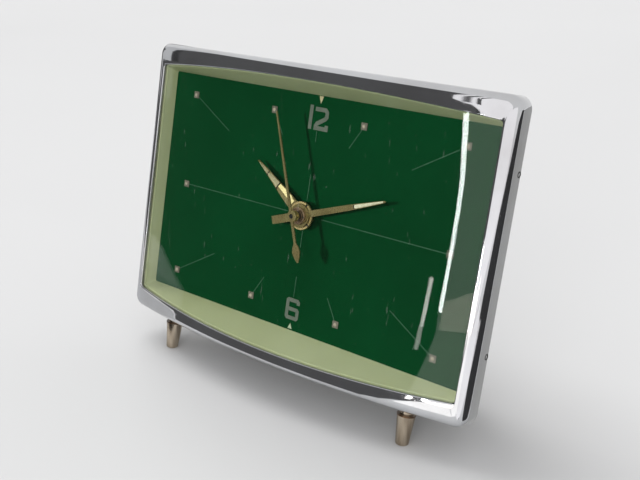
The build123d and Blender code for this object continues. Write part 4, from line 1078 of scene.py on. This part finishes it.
def makeWorld():  # seen and mirrored, the backdrop is as pale as the floor
    world = bpy.data.worlds.new("studioWorld")
    scene.world = world
    world.use_nodes = True
    tree = world.node_tree
    ray = tree.nodes.new("ShaderNodeTexCoord")
    height = tree.nodes.new("ShaderNodeSeparateXYZ")
    tree.links.new(ray.outputs["Generated"], height.inputs["Vector"])
    stops = ((studio["horizonAt"], studio["horizonTone"]), (studio["zenithAt"], studio["zenithTone"]))
    sky = tones(tree, height.outputs["Z"], stops)
    path = tree.nodes.new("ShaderNodeLightPath")
    mirrored = combine(tree, "MAXIMUM", path.outputs["Is Glossy Ray"], path.outputs["Is Transmission Ray"])
    seen = combine(tree, "MAXIMUM", mirrored, path.outputs["Is Camera Ray"])
    tone = toneChoice(tree, seen, sky, studio["backdropTone"])
    tree.links.new(tone, tree.nodes["Background"].inputs["Color"])


def makeLamps():
    for name, (azimuth, elevation, strength, angle) in lamps.items():
        data = bpy.data.lights.new(name + "Lamp", "SUN")
        data.energy = strength
        data.angle = math.radians(angle)
        turn, rise = math.radians(azimuth), math.radians(elevation)
        lamp = bpy.data.objects.new(data.name, data)
        lamp.location = (math.sin(turn) * math.cos(rise), -math.cos(turn) * math.cos(rise), math.sin(rise))
        lamp.rotation_euler = lamp.location.to_track_quat("Z", "Y").to_euler()
        lamp.visible_glossy = False
        scene.collection.objects.link(lamp)


def linkLamp(lampName, kind, names, state="EXCLUDE"):  # a lamp passes things by, or lights them alone
    group = bpy.data.collections.new(lampName + kind)
    for name in names:
        group.objects.link(bpy.data.objects[name])
    for member in group.collection_objects:
        member.light_linking.link_state = state
    setattr(bpy.data.objects[lampName].light_linking, kind, group)


def makeStudio():
    half = studio["floorSize"]
    corners = [(-half, -half, 0), (half, -half, 0), (half, half, 0), (-half, half, 0)]
    stageSheet("studioFloor", corners, floorFinish(), cardOnly=False)
    glow = {name: glowFinish(name + "Card", *row) for name, row in glows.items()}
    makeWall(glow)
    makeGround(glow)
    makeWorld()
    makeLamps()
    linkLamp("keyLamp", "receiver_collection", ("studioFloor", "creamInsert"))
    linkLamp("keyLamp", "blocker_collection", ("rimBand", "creamInsert", "lensSheet"))
    linkLamp("brightStripTop", "receiver_collection", ("rimBand",))
    linkLamp("insertLamp", "receiver_collection", ("creamInsert",), "INCLUDE")
    linkLamp("insertLamp", "blocker_collection", ("lensSheet",))


makeStudio()

# camera at the photograph's place
viewpoint = dict(
    place=(0.1861, -0.23101, 0.1586), forward=(-0.5892, 0.7261, -0.3544),
    lens=53.14, sensor=36.0, clipStart=0.01,
)


def makeCamera():
    data = bpy.data.cameras.new("viewCamera")
    data.lens = viewpoint["lens"]
    data.sensor_width = viewpoint["sensor"]
    data.clip_start = viewpoint["clipStart"]
    camera = bpy.data.objects.new("viewCamera", data)
    camera.location = viewpoint["place"]
    camera.rotation_euler = Vector(viewpoint["forward"]).to_track_quat("-Z", "Y").to_euler()
    scene.collection.objects.link(camera)
    scene.camera = camera


makeCamera()
print("studio done")
